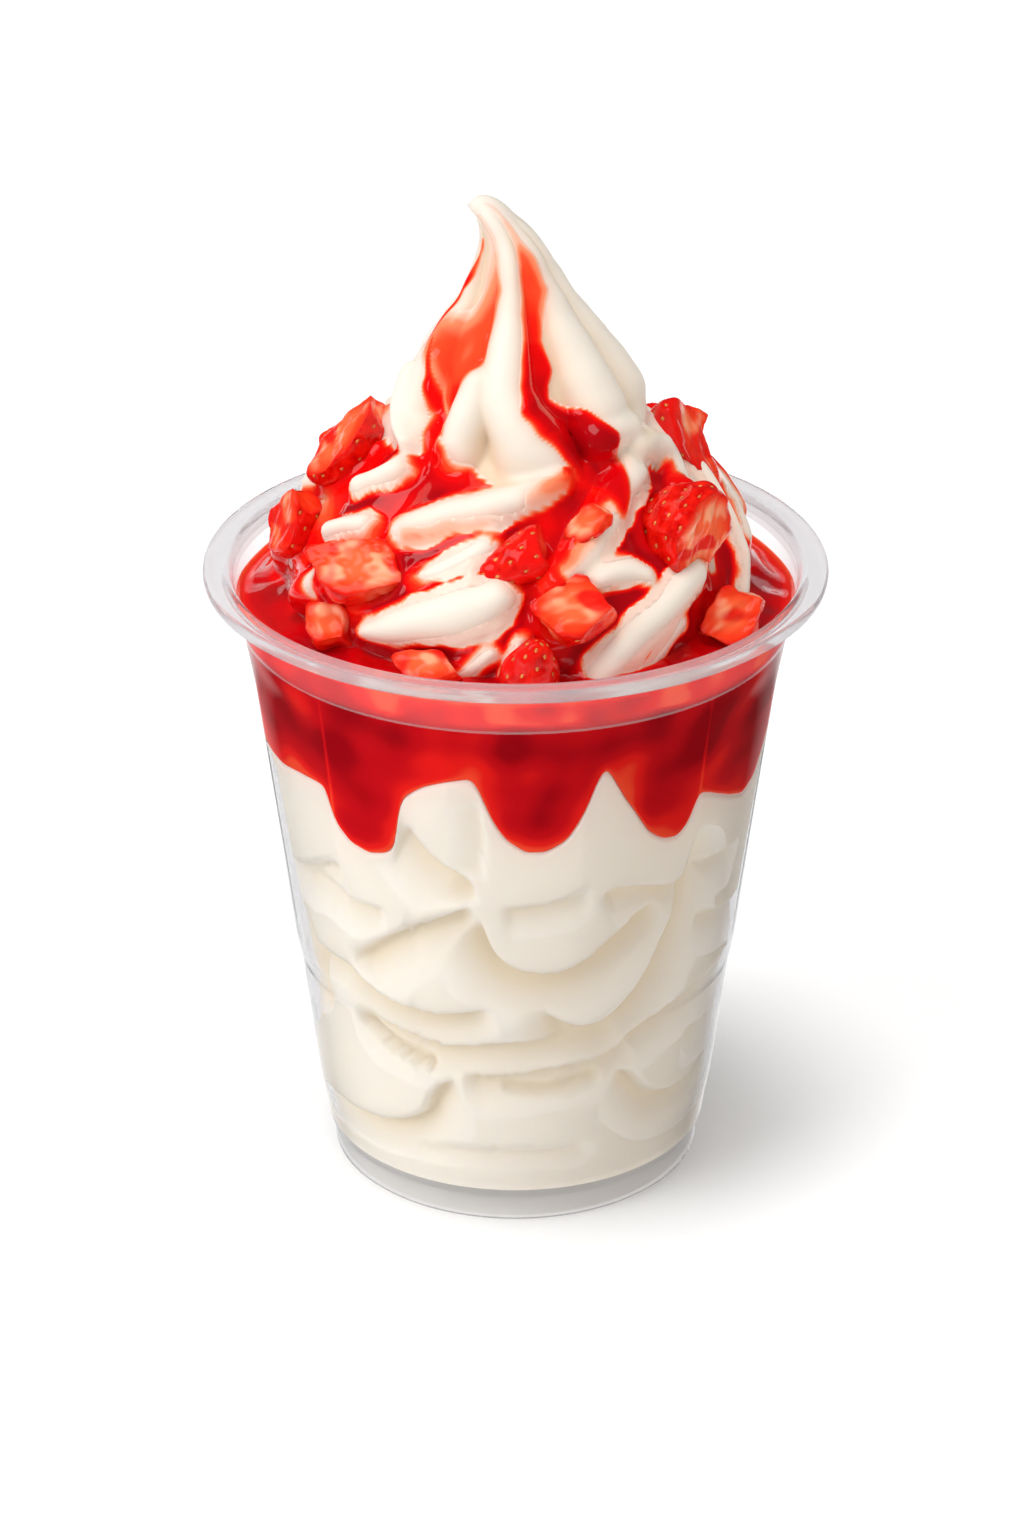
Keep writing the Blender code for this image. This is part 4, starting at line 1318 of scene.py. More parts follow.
@dataclass(frozen=True)
class DripEdge:
    """The lower edge of the sauce on the wall: a rounded drip in each panel."""

    # In front: degrees, height.
    front: Path = (
        (-84, 79.5), (-78.3, 72.4), (-72, 71.2), (-66.1, 70.9), (-57.4, 71.9), (-50, 72.4), (-46.6, 72.2),
        (-45.9, 69.6), (-45, 67), (-41.1, 64.3), (-35.9, 63.5), (-31.3, 64.3), (-28.7, 65.6), (-27.9, 67.6),
        (-27.4, 71), (-26.4, 73.8), (-24.4, 75.4), (-20.4, 77.3), (-14.9, 78.9), (-9.5, 79.6), (-8, 78),
        (-6.8, 75.3), (-4.7, 72), (-2.1, 69.3), (2.3, 67.2), (6.7, 67.2), (11.2, 68.9), (13.7, 71.5),
        (15.8, 74.7), (17.5, 78.5), (19.6, 80.8), (21.9, 78.1), (24.5, 75), (27.9, 71.7), (31.5, 68),
        (35.7, 66), (39.8, 65.6), (42.8, 67.4), (43.8, 70.2), (45, 72), (48.9, 70.9), (57.7, 68.1),
        (65, 66.3), (71, 67.6), (76, 74),
    )
    # Behind: the middle of each drip, the height of its rounded foot, and of the crest beside it.
    back: tuple[Triple, ...] = (
        (90, 66.8, 78.6), (120, 64.6, 79.4), (150, 69.4, 77.6), (180, 66, 79.8), (210, 71.2, 76.8),
        (240, 65.2, 78.4), (264, 70.4, 79.5),
    )
    back_half: float = 14.5
    crest: float = 76.8
    roundness: float = 2.6
    # How far the edge is smoothed, as a share of a turn.
    smoothing: float = 1.1 / 480.0

    def heights(self, columns: int) -> np.ndarray:
        """Height of the edge at every column.

        Args:
            columns: how many.

        Returns:
            One height a column.
        """
        angles = wrapped(column_angles(columns))
        front = read_path(self.front, angles)
        back = np.full(columns, self.crest)
        for middle, foot, crest in self.back:
            across = np.abs(wrapped(angles - middle)) / self.back_half
            drip = np.minimum(back + crest - self.crest, foot + (crest - foot) * across**self.roundness)
            back = np.where(across < 1.0, drip, back)
        in_front = (angles > self.front[0][0]) & (angles < self.front[-1][0])
        edge = np.where(in_front, front, back)
        return spread(edge[None, :], 0.01, columns * self.smoothing)[0]


@dataclass
class SoftServe:
    """One body of soft serve from the floor of the cup to the hooked tip."""

    wall: CupWall
    swirl: Swirl
    drips: DripEdge = DripEdge()
    shape: SwirlShape = SwirlShape()
    folds: WallFolds = WallFolds()
    # The swirl takes a darker copy of the cream and the soft serve against the wall a brighter one: painted
    # light, as both are one cream. The wall copy has its own painted shade in the folds.
    finish: Cream = Cream()
    wall_finish: Cream = Cream(
        ridge=(0.925, 0.87, 0.78), hollow=(0.86, 0.75, 0.57), gloss=0.05, name="soft_serve_on_wall_painted_light"
    )
    columns: int = 480
    peak_columns: int = 240
    fine_top: float = 127.0
    wall_rows: int = 82
    mound_rows: int = 60
    peak_rows: int = 84
    foot: float = 7.6
    into_wall: float = 0.12
    lumps: Unevenness = Unevenness(0.10, 7.0, 5)
    lump_span: Span = (80.0, 95.0)
    push_smoothing: float = 1.3
    # Heights over which the painted shade in the hollows fades out towards the tip.
    painted_shade_fade: Span = (147.0, 151.0)
    crowding: float = 1.15
    # The folds: how they are smoothed, and where they fade out below the sauce and above the foot.
    fold_smoothing: Span = (0.35, 0.6)
    under_sauce: Span = (0.4, 3.5)
    above_foot: Span = (7.6, 10.5)
    # The fold depth that gets the full painted shade.
    deepest: float = 2.6
    wall_gap: float = 0.7
    # The rounded foot: heights, and how far in from the wall.
    foot_round: Path = ((5.1, 3.0), (5.15, 1.5), (5.3, 0.93), (5.5, 0.62), (5.9, 0.32), (6.7, 0.15))
    # Round the lower edge of the sauce: how far above the edge, and how far in from the wall.
    tuck: Path = ((-0.35, 0.3), (0.1, 0.8), (0.8, 1.25), (3.0, 1.6))
    tuck_height: float = 3.0
    tuck_depth: float = 1.6
    # From there the body goes in to the mound, under the pool.
    root_shares: Triple = (0.35, 0.7, 1.0)
    root_height: float = 88.5
    root_inset: float = 2.0
    found: tuple[np.ndarray, ...] = ()

    def swirl_grid(self, columns: int, heights: np.ndarray) -> tuple[np.ndarray, ...]:
        """Outline points, outward directions, push, and hollowness for the painted shade, by heights and
        columns.

        Args:
            columns: how many points a row has.
            heights: of the rows.

        Returns:
            Four grids, by rows and columns.
        """
        degrees, rows = np.meshgrid(column_angles(columns), heights)
        points, out = self.swirl.surface(wrapped(degrees), rows)
        flat, flat_out = points.reshape(-1, 3), out.reshape(-1, 3)
        push, hollow = self.shape.push(self.swirl, flat, flat_out, rows.reshape(-1))
        push = push + self.lumps.at(flat) * eased(rows.reshape(-1), *self.lump_span)
        push = spread(push.reshape(rows.shape), 1.0, self.push_smoothing * columns / self.columns)
        hollow = hollow.reshape(rows.shape) * (1.0 - eased(rows, *self.painted_shade_fade))
        return points, out, push, hollow

    def mound_heights(self) -> np.ndarray:
        """Heights of the rows of the mound."""
        return np.linspace(self.swirl.foot + 2.0, self.swirl.waist, self.mound_rows)

    def peak_heights(self) -> np.ndarray:
        """Heights of the rows of the peak, closer together towards the tip."""
        share = np.linspace(0.0, 1.0, self.peak_rows + 1)[1:]
        share = 1.0 - (1.0 - share) ** self.crowding
        return self.swirl.waist + (self.swirl.top - self.swirl.waist) * share

    def swirl_heights(self) -> np.ndarray:
        """Heights of all the rows of the swirl."""
        return np.concatenate([self.mound_heights(), self.peak_heights()])

    def whole_grid(self) -> tuple[np.ndarray, ...]:
        """The grid of the whole swirl, worked out once.

        Returns:
            What swirl_grid gives.
        """
        if not self.found:
            self.found = self.swirl_grid(self.columns, self.swirl_heights())
        return self.found

    def wall_part(self) -> tuple[np.ndarray, np.ndarray]:
        """The rows against the wall, from the rounded foot to just under the sauce.

        Returns:
            Their points and how far each stands back from the wall, a share that sets the painted shade.
        """
        degrees = column_angles(self.columns)
        edge = self.drips.heights(self.columns)
        share = np.linspace(0.0, 1.0, self.wall_rows)[:, None]
        heights = self.foot + (edge - self.wall_gap - self.foot) * share
        angles = np.broadcast_to(degrees, heights.shape)
        radius = self.wall.inside(angles, heights)
        turn = np.radians(angles)
        out = np.stack([np.sin(turn), -np.cos(turn), np.zeros_like(turn)], axis=-1)
        points = out * radius[..., None]
        points[..., 2] = heights
        depth = self.folds.depth(self.wall, points.reshape(-1, 3), out.reshape(-1, 3)).reshape(radius.shape)
        depth = spread(depth, *self.fold_smoothing)
        depth = depth * eased(edge - heights, *self.under_sauce) * eased(heights, *self.above_foot)
        points -= out * (depth - self.into_wall)[..., None]
        # The second value is painted shade: the colour darkens and warms where the cream stands back from the
        # wall.
        return points, np.clip(depth / self.deepest, 0.0, 1.0)

    def lower_rows(self) -> list[tuple[np.ndarray, np.ndarray]]:
        """The rings below the swirl: the foot, the wall, the tuck under the sauce, and the mound's root.

        Returns:
            Each ring's points and how hollow they are, for the painted shade.
        """
        columns = self.columns
        degrees = column_angles(columns)
        edge = self.drips.heights(columns)
        plain = np.zeros(columns)
        foot = self.wall.inside(degrees, self.foot) + self.into_wall
        rows = [(ring(foot - back, height, columns), plain) for height, back in self.foot_round]
        rows += list(zip(*self.wall_part()))
        for above, back in self.tuck:
            height = edge + above
            rows.append((ring(self.wall.inside(degrees, height) - back, height, columns), plain))
        mound = self.swirl.radius(self.root_height) - self.root_inset
        for share in self.root_shares:
            height = edge + self.tuck_height + (self.root_height - edge - self.tuck_height) * share
            radius = (self.wall.inside(degrees, height) - self.tuck_depth) * (1.0 - share) + mound * share
            rows.append((ring(radius, height, columns), plain))
        return rows

    def build(self, stain: np.ndarray) -> bpy.types.Object:
        """Makes the soft serve as one closed body.

        Args:
            stain: how pink sauce has made each point of the swirl's grid.

        Returns:
            The piece.
        """
        piece = Piece("soft_serve_swirl")
        rings = self.lower_rows()
        # The hollow values are painted shade: they darken and warm the cream's colour in folds and hollows.
        starts = [(piece.add_points(row, hollow=hollow, stain=0.0), self.columns) for row, hollow in rings]
        outline, out, push, hollow = self.whole_grid()
        shaped = outline + out * push[..., None]
        for height, row, deep, pink in zip(self.swirl_heights(), shaped, hollow, stain):
            count = self.columns if height < self.fine_top else self.peak_columns
            step = self.columns // count
            first = piece.add_points(row[::step], hollow=deep[::step], stain=pink[::step])
            starts.append((first, count))
        on_wall = self.wall_rows + len(self.foot_round)
        for number, ((low, low_count), (high, high_count)) in enumerate(zip(starts, starts[1:])):
            piece.join_rings(low, low_count, high, high_count, slot=int(number < on_wall))
        bottom = piece.add_points(np.array([[0.0, 0.0, self.foot_round[0][0]]]), hollow=0.0, stain=0.0)
        tip = piece.add_points(np.array([self.swirl.pole]), hollow=0.0, stain=0.0)
        piece.cap(starts[0][0], self.columns, bottom, upward=False)
        piece.cap(starts[-1][0], self.peak_columns, tip, upward=True)
        finishes = [self.finish.material(), self.wall_finish.material()]
        return ridden(piece.build(finishes), "soft_serve", "soft_serve")


# ---------------------------------------------------------------------------------------------- fruit


class Cut(Enum):
    """How a piece was cut from the berry: the direction each knife cut faces, and its distance."""

    TIP = (((0.05, -0.12, -1.0), 0.35),)
    WEDGE = (((0.1, 1.0, 0.0), 0.28), ((0.85, 0.1, 0.5), 0.62), ((-0.2, -0.2, 0.95), 0.72))
    SLAB = (
        ((0.0, 1.0, 0.08), 0.42), ((0.1, -1.0, 0.12), 0.55), ((0.9, 0.05, -0.44), 0.66),
        ((-0.75, 0.1, 0.66), 0.72), ((0.35, 0.1, 0.94), 0.62), ((-0.4, -0.1, -0.9), 0.66),
    )


@dataclass(frozen=True)
class Berry:
    """One cut piece of strawberry: where it lies, its size, and the ways its long side and cut face look."""

    name: str
    cut: Cut
    middle: Triple
    size: Triple
    along: Triple
    face: Triple
    glaze: float = 0.3
    subdivisions: int = 6
    squareness: float = 2.6

    def turn(self) -> np.ndarray:
        """The piece's own axes as columns: width, thickness and length.

        Returns:
            A turning matrix.
        """
        along = np.array(self.along) / np.linalg.norm(self.along)
        side = np.cross(along, self.face)
        side /= np.linalg.norm(side)
        face = np.cross(side, along)
        return np.stack([-side, face, along], axis=1)

    def share_out(self, points: np.ndarray) -> np.ndarray:
        """How far points are from the middle, where about 1 is on the surface.

        Args:
            points: rows of x, y and z, round the cup.

        Returns:
            One value a point.
        """
        local = (points - np.array(self.middle)) @ self.turn()
        half = np.array((self.size[1], self.size[2], self.size[0])) / 2.0
        return ((np.abs(local) / half) ** self.squareness).sum(axis=-1) ** (1.0 / self.squareness)


BERRIES: tuple[Berry, ...] = (
    Berry("strawberry_01", Cut.WEDGE, (-23.0, 2.2, 113.2), (14.6, 9.0, 8.0), (0.62, 0.1, 0.78),
          (-0.7, -0.3, 0.62), 0.2),
    Berry("strawberry_02", Cut.WEDGE, (-31.4, -3.4, 104.0), (10.5, 8.5, 6.5), (0.35, -0.2, 0.9),
          (-0.75, -0.5, 0.3), 0.35),
    Berry("strawberry_03", Cut.SLAB, (-21.8, -20.6, 103.2), (16.2, 9.5, 8.0), (0.9, -0.42, 0.05),
          (-0.35, -0.6, 0.72), 0.36),
    Berry("strawberry_04", Cut.SLAB, (-26.6, -22.0, 95.7), (7.2, 6.6, 5.6), (0.8, -0.5, -0.2),
          (-0.2, -0.7, 0.65), 0.4, 5),
    Berry("strawberry_05", Cut.TIP, (-0.4, -27.6, 108.0), (11.5, 8.0, 7.5), (-0.86, -0.2, -0.35),
          (0.1, 0.9, 0.3), 0.85),
    Berry("strawberry_06", Cut.SLAB, (8.2, -31.8, 102.4), (11.2, 9.0, 7.0), (0.95, 0.1, 0.2),
          (0.1, -0.72, 0.68), 0.38),
    Berry("strawberry_07", Cut.TIP, (2.4, -36.2, 96.4), (9.0, 8.0, 7.0), (0.2, -0.3, 0.9), (0.3, 0.9, 0.0),
          0.8, 5),
    Berry("strawberry_08", Cut.WEDGE, (23.3, 3.0, 114.0), (13.2, 8.0, 7.0), (0.5, 0.0, -0.86),
          (0.8, -0.5, 0.5), 0.8),
    Berry("strawberry_09", Cut.WEDGE, (23.2, -16.0, 108.9), (14.0, 12.4, 11.0), (-0.3, -0.25, -0.9),
          (0.72, -0.42, 0.5), 0.15),
    Berry("strawberry_10", Cut.SLAB, (31.2, -18.4, 95.4), (10.0, 8.0, 6.6), (0.75, 0.3, 0.55),
          (0.3, -0.62, 0.72), 0.12),
    Berry("strawberry_11", Cut.SLAB, (-12.6, -33.6, 94.6), (10.0, 5.4, 4.0), (0.95, -0.3, 0.05),
          (-0.1, -0.7, 0.7), 0.5, 5),
    Berry("strawberry_12", Cut.SLAB, (10.4, -24.2, 112.6), (6.8, 4.6, 4.0), (0.8, 0.1, 0.6),
          (-0.1, -0.8, 0.6), 0.4, 5),
    Berry("strawberry_13", Cut.WEDGE, (22.0, 24.6, 104.6), (14.0, 10.0, 8.0), (0.7, -0.5, 0.5),
          (0.4, 0.6, 0.7), 0.25),
    Berry("strawberry_14", Cut.TIP, (-1.0, 36.2, 98.0), (12.0, 10.0, 8.5), (-0.8, 0.2, -0.4),
          (0.5, 0.5, 0.7), 0.3),
    Berry("strawberry_15", Cut.SLAB, (-22.0, 24.0, 105.6), (12.5, 9.0, 7.0), (0.8, 0.5, 0.2),
          (-0.3, 0.7, 0.65), 0.25),
)


@dataclass
class BerryMaker:
    """Makes the pieces of strawberry, each with its own seeds, dimples and flesh."""

    flesh: BerryFlesh = BerryFlesh()
    seed_shell: SeedShell = SeedShell()
    softness: float = 60.0
    grow: float = 1.06
    seed_step: float = 2.1
    seed_half: Triple = (0.24, 0.38, 0.14)
    seed_rise: float = 0.04
    dimple_depth: float = 0.28
    dimple_half: float = 0.5
    skin_limit: float = 0.9
    # The surface's lumps, and on the cut faces the large and small patches with their relief.
    lumps: tuple[Unevenness, ...] = (Unevenness(0.24, 5.0), Unevenness(0.07, 2.4, 40))
    blotches: Unevenness = Unevenness(1.0, 4.2, 60)
    fibres: Unevenness = Unevenness(1.0, 1.3, 80)
    fibre_stretch: Triple = (1.0, 1.0, 0.5)
    blotch_relief: float = 0.12
    fibre_relief: float = 0.07
    # The pale streaks: the fibres' part in them, which patches get one, how deep in they start, and how pale
    # they are.
    streak_fibres: float = 0.4
    streak_span: Span = (-0.1, 1.3)
    streak_depth: Span = (0.04, 0.3)
    streak_share: float = 0.70
    # The glaze: its patches, how it runs down, and what is covered.
    wetness: Unevenness = Unevenness(0.8, 6.0, 20)
    wet_fall: float = 0.5
    glaze_ends: Span = (0.75, 1.25)
    glaze_pull: float = 1.7
    glaze_share: float = 0.92

    def __post_init__(self) -> None:
        """Makes the finishes once, for all the pieces."""
        self.finishes = [self.flesh.material(), self.seed_shell.material()]
        self.spheres: dict[int, tuple[np.ndarray, np.ndarray]] = {}

    def sphere(self, subdivisions: int) -> tuple[np.ndarray, np.ndarray]:
        """Points and triangles of an even sphere of radius 1.

        Args:
            subdivisions: how fine it is.

        Returns:
            Its points and its triangles.
        """
        if subdivisions not in self.spheres:
            body = bmesh.new()
            bmesh.ops.create_icosphere(body, subdivisions=subdivisions, radius=1.0)
            points = np.array([tuple(vertex.co) for vertex in body.verts])
            faces = np.array([[vertex.index for vertex in face.verts] for face in body.faces])
            body.free()
            self.spheres[subdivisions] = (points, faces)
        return self.spheres[subdivisions]

    @staticmethod
    def girth(height: np.ndarray) -> np.ndarray:
        """How wide the whole berry is at a height from -1 to 1, against a sphere."""
        return np.where(height > 0.0, 0.96 - 0.26 * height - 0.1 * height**2, 0.96 - 0.16 * height**2)

    def shaped(self, berry: Berry, ball: np.ndarray) -> tuple[np.ndarray, np.ndarray, np.ndarray]:
        """Moves a sphere's points onto the cut piece.

        Args:
            berry: the piece.
            ball: the sphere's points.

        Returns:
            The points about the piece's middle, how much of each is skin, and how deep in the berry it lay.
        """
        body = ball.copy()
        body[:, :2] *= self.girth(ball[:, 2])[:, None]
        kept = np.ones(len(body))
        for normal, offset in berry.cut.value:
            toward = body @ (np.array(normal) / np.linalg.norm(normal))
            cut = offset / np.maximum(toward, 1e-3)
            kept = kept + np.where(toward > 0.02, cut**-self.softness, 0.0)
        share = kept ** (-1.0 / self.softness)
        points = body * share[:, None]
        low, high = points.min(axis=0), points.max(axis=0)
        sides = np.array((berry.size[1], berry.size[2], berry.size[0]))
        points = (points - (low + high) / 2.0) / (high - low) * sides * self.grow
        return points, 1.0 / kept, 1.0 - share

    def seeds(self, berry: Berry, points: np.ndarray, skin: np.ndarray, ball: np.ndarray) -> np.ndarray:
        """The numbers of the points that carry a seed, evenly spread over the skin.

        Args:
            berry: the piece.
            points: not used.
            skin: how much of each is skin.
            ball: the sphere that it was shaped from.

        Returns:
            The numbers of the points.
        """
        area = 4.0 * math.pi * (np.prod(berry.size) / 8.0) ** (2.0 / 3.0)
        count = int(area / self.seed_step**2)
        number = np.arange(count)
        height = 1.0 - 2.0 * (number + 0.5) / count
        turn = number * math.pi * (3.0 - math.sqrt(5.0))
        around = np.sqrt(1.0 - height**2)
        wanted = np.stack([around * np.cos(turn), around * np.sin(turn), height], axis=1)
        found = np.unique((ball @ wanted.T).argmax(axis=0))
        return found[skin[found] > self.skin_limit]

    def build(self, berry: Berry) -> bpy.types.Object:
        """Makes one piece.

        Args:
            berry: what to make.

        Returns:
            The piece.
        """
        number = int(berry.name[-2:])
        ball, faces = self.sphere(berry.subdivisions)
        points, skin, core = self.shaped(berry, ball)
        seeds = self.seeds(berry, points, skin, ball)
        out = self.normals(points, faces)
        dent = sum(lump.at(points, number) for lump in self.lumps)
        for seed in seeds:
            away = ((points - points[seed]) ** 2).sum(axis=1)
            dent -= self.dimple_depth * np.exp(-away / self.dimple_half**2)
        blotch = self.blotches.at(points, number)
        fine = self.fibres.at(points * np.array(self.fibre_stretch), number)
        pale = eased(blotch + self.streak_fibres * fine, *self.streak_span)
        streak = pale * eased(core, *self.streak_depth) * (1.0 - skin) * self.streak_share
        dent += (1.0 - skin) * (self.fibre_relief * fine + self.blotch_relief * blotch)
        world = berry.turn()
        placed = (points + out * dent[:, None]) @ world.T + np.array(berry.middle)
        up = (points @ world.T)[:, 2] / max(berry.size) * 2.0
        wet = self.wetness.at(placed, number) - up * self.wet_fall
        low, high = (end - self.glaze_pull * berry.glaze for end in self.glaze_ends)
        glaze = self.glaze_share * eased(wet, low, high)
        piece = Piece(berry.name + "_piece")
        piece.add_points(placed, skin=skin, core=core, streak=streak, glaze=glaze)
        piece.add_faces(faces.tolist())
        self.add_seeds(piece, points + out * dent[:, None], out, seeds, world, np.array(berry.middle))
        return ridden(piece.build(self.finishes), "strawberry", berry.name)

    @staticmethod
    def normals(points: np.ndarray, faces: np.ndarray) -> np.ndarray:
        """The outward direction at each point.

        Args:
            points: rows of x, y and z.
            faces: the numbers of each triangle's points.

        Returns:
            One direction a point.
        """
        corner = points[faces]
        across = np.cross(corner[:, 1] - corner[:, 0], corner[:, 2] - corner[:, 0])
        total = np.zeros_like(points)
        for k in range(3):
            np.add.at(total, faces[:, k], across)
        return total / np.maximum(np.linalg.norm(total, axis=1, keepdims=True), 1e-12)

    def add_seeds(self, piece: Piece, points: np.ndarray, out: np.ndarray, seeds: np.ndarray,
                  world: np.ndarray, middle: np.ndarray) -> None:
        """Adds the small seeds, each lying along the berry in its dimple.

        Args:
            piece: what they are added to.
            points: the berry's points about its own middle.
            out: the outward direction at each.
            seeds: the numbers of the points that carry one.
            world: the berry's axes as columns.
            middle: where its middle lies.
        """
        ball, faces = self.sphere(2)
        for seed in seeds:
            normal = out[seed]
            along = np.array((0.0, 0.0, 1.0)) - normal * normal[2]
            if np.linalg.norm(along) < 0.2:
                along = np.array((1.0, 0.0, 0.0)) - normal * normal[0]
            along /= np.linalg.norm(along)
            axes = np.stack([np.cross(along, normal), along, normal], axis=0)
            shell = points[seed] + (ball * self.seed_half) @ axes + normal * self.seed_rise
            first = piece.add_points(shell @ world.T + middle, skin=1.0, core=0.0, streak=0.0, glaze=0.0)
            piece.add_faces((faces + first).tolist(), slot=1)


# ---------------------------------------------------------------------------------------------- sauce


@dataclass(frozen=True)
class SauceLayout:
    """Where the sauce lies on the swirl: bare strokes on the mound, and streams on the peak."""

    # Bare soft serve on the mound: half-widths above and below the line.
    bare: tuple[Stroke, ...] = (
        Stroke(1, 2.3, 2.2, ((-64, 113.7), (-61, 114.5), (-57, 115.8), (-55, 116.6))),
        Stroke(1, 2.2, 2.2, ((-62, 107.9), (-58, 109), (-53, 110.1))),
        Stroke(1, 2.7, 2.4, ((-92, 130, 0.6), (-87, 126.6), (-80, 123.7), (-70, 121.4), (-60, 120, 0.7))),
        Stroke(1, 2.9, 3.7, ((-34, 111.8, 0.8), (-30, 112.5, 1), (-22, 113.9, 1.05), (-13, 114.9),
               (-6, 115.6, 0.95), (1, 116.3, 0.85), (8, 116.9, 0.7), (14, 117.5, 0.5))),
        Stroke(1, 2.1, 2.9, ((-24, 107.4, 0.6), (-20, 108.2), (-16, 109.2), (-11, 110.4))),
        Stroke(1, 3.9, 4.7, ((-36, 98.3, 0.35), (-32, 99.3, 0.6), (-28, 100.2, 0.75), (-25, 101, 0.85),
               (-20, 102, 0.95), (-16, 102.7, 1.05), (-12, 103.3, 1.15), (-8.5, 104, 1.15))),
        Stroke(1, 1, 1.3, ((-15, 93.8), (-12, 94.7), (-9, 95.9), (-7, 97.2))),
        Stroke(1, 0.8, 0.9, ((-2, 94.2), (-1, 96.3), (0.5, 98.8))),
        Stroke(1, 1.5, 3.1, ((16, 107.6, 0.8), (21, 109.3), (25, 110.9), (30, 112.3), (36, 113.7),
               (44, 115.5), (52, 117.2, 1.2))),
        Stroke(1, 2.5, 2.7, ((23, 106.6, 0.8), (27, 106.9), (31, 106.9), (34, 106.4, 0.8))),
        Stroke(1, 2.9, 3.1, ((21, 94.6, 1.05), (24, 96.5, 1.1), (29, 98.6, 1.1), (34, 100.2), (38, 101.4),
               (44, 102.6), (49, 103.5, 1))),
        Stroke(1, 1.6, 1.9, ((29, 92.2), (33, 94.6), (37, 96.5), (41, 98))),
        Stroke(1, 1.5, 1.8, ((67, 95), (70, 96.7), (74, 98.6), (78, 102), (80, 105.3), (84, 109, 1.2),
               (92, 112, 1.4))),
        Stroke(1, 1.6, 2, ((90, 101.6), (101, 105.2), (112, 108.6))),
        Stroke(1, 0.5, 0.6, ((-58.8, 98.9), (-61.4, 101), (-61.5, 103.2))),
        Stroke(1, 3.4, 3.6, ((80, 113.6), (92, 112), (106, 113))),
        Stroke(1, 4, 4.4, ((50, 119.6), (62, 119.8), (76, 119.6))),
        Stroke(1, 1.4, 1.6, ((64, 103), (69.7, 106.1))),
    )
    back_bare: float = 2.1
    # Upper limit of the mound's sauce: degrees, height.
    limit: Path = (
        (-180, 113.5), (-150, 115), (-120, 116), (-90, 117), (-70, 118.5), (-50, 119.2), (-44, 121),
        (-38, 120.8), (-30, 120), (-22, 118.9), (-14, 118), (0, 117.6), (14, 118.4), (24, 120), (36, 120.6),
        (46, 118), (60, 116), (75, 115), (100, 113.5), (120, 112.5), (150, 114.5), (180, 113.5),
    )
    # Streams and films on the peak: thickness, then (degrees, height, half-width).
    streams: tuple[Stroke, ...] = (
        Stroke(0.25, 1, 1, ((-72, 147.1, 0.3, 0.3), (-76, 143.9, 0.5, 0.6), (-84, 139.7, 0.6, 0.9),
               (-84, 135.7, 0.7, 1.1), (-85, 132.3, 0.8, 1.2), (-88, 130, 0.6, 0.9))),
        Stroke(0.60, 1, 1, ((-80, 132.6, 0.3, 0.5), (-72, 130, 0.6, 0.8), (-67, 127.6, 0.9, 0.9),
               (-61, 125.7, 1.2, 1.1), (-54, 123.8, 1.3, 1.1), (-48, 121.6, 1.8, 1),
               (-42, 119.4, 2.8, 1.1))),
        Stroke(0.65, 1, 1, ((8, 127.4, 2.9, 1.7), (15, 125.8, 3.5, 2.1), (27, 123.2, 3.9, 2.5),
               (34.5, 120.6, 4.1, 2.3), (36, 118, 3.8, 1.8), (36, 115.6, 2.6, 1.5), (35, 113.6, 1.4, 1.2))),
        Stroke(0.80, 1, 1, ((188, 140, 0.8, 0.2), (190, 136, 1.8, 0.5), (194, 130, 2.4, 1),
               (198, 125, 2.6, 1.4), (206, 120.5, 3, 1.6), (214, 116.5, 3.6, 1.6))),
        Stroke(0.60, 1, 1, ((128, 130, 0.8, 0.2), (132, 125, 1.6, 0.4), (137, 119.5, 2.2, 0.9),
               (142, 115.5, 2.8, 1.2))),
        Stroke(0.60, 1, 1, ((252, 126, 0.8, 0.2), (256, 121.5, 1.6, 0.6), (260, 116, 2.4, 1.2))),
    )
    # Films on the peak: how far they fade at their left and right edges, then height, the two angles that
    # they lie between, and the depth of colour.
    films: tuple[tuple[float, float, Path], ...] = (
        (5.2, 1, ((122.5, -47, -38, 1), (125.6, -58, -42, 0.9), (127.6, -66, -41, 0.62),
            (129.3, -76, -36, 0.50), (131.9, -92, -30, 0.42), (133.9, -94, -27, 0.38),
            (136, -84, -24.5, 0.36), (137.5, -72, -23, 0.36), (139.5, -62, -20, 0.38),
            (141.4, -55, -17, 0.40), (144, -52, -18, 0.34), (146.5, -50, -23, 0.16),
            (149.8, -52, -26, 0.06), (151.6, -50, -26, 0.03))),
        (0.9, 1.5, ((124.6, 8.5, 24, 1.7), (126, 2, 23, 1.6), (127.5, -2, 20, 1.7), (128.7, -2, 18, 1.7),
            (130.5, -1, 20, 1.6), (132.1, 0, 25, 1.4), (133.9, 0, 24, 1), (135.8, 2, 22, 0.80),
            (138.6, 2, 31, 0.52), (141.2, 3, 42, 0.44), (143.9, 6, 41, 0.42), (146.1, 10, 38, 0.38),
            (147.9, 12, 33, 0.32), (149, 14, 33, 0.24), (150.6, 18, 36, 0.18), (152.2, 26, 42, 0.12))),
    )
    # Stains: thin films over ridges of the mound.
    stains: tuple[Stroke, ...] = (
        Stroke(0.14, 2, 2.4, ((12, 108.6, 0.9, 0.25), (17, 110.6, 1, 0.22), (24, 113, 1, 0.14),
               (32, 115.2, 0.8, 0.12))),
        Stroke(0.12, 1.4, 1.8, ((5, 116, 0.8, 0.08), (13, 117.4, 1, 0.2), (19, 118, 1, 0.4))),
        Stroke(0.10, 1.3, 1.6, ((-34, 110.4, 1, 0.2), (-22, 111.8, 1, 0.1), (-8, 113.6, 0.8, 0.06))),
    )

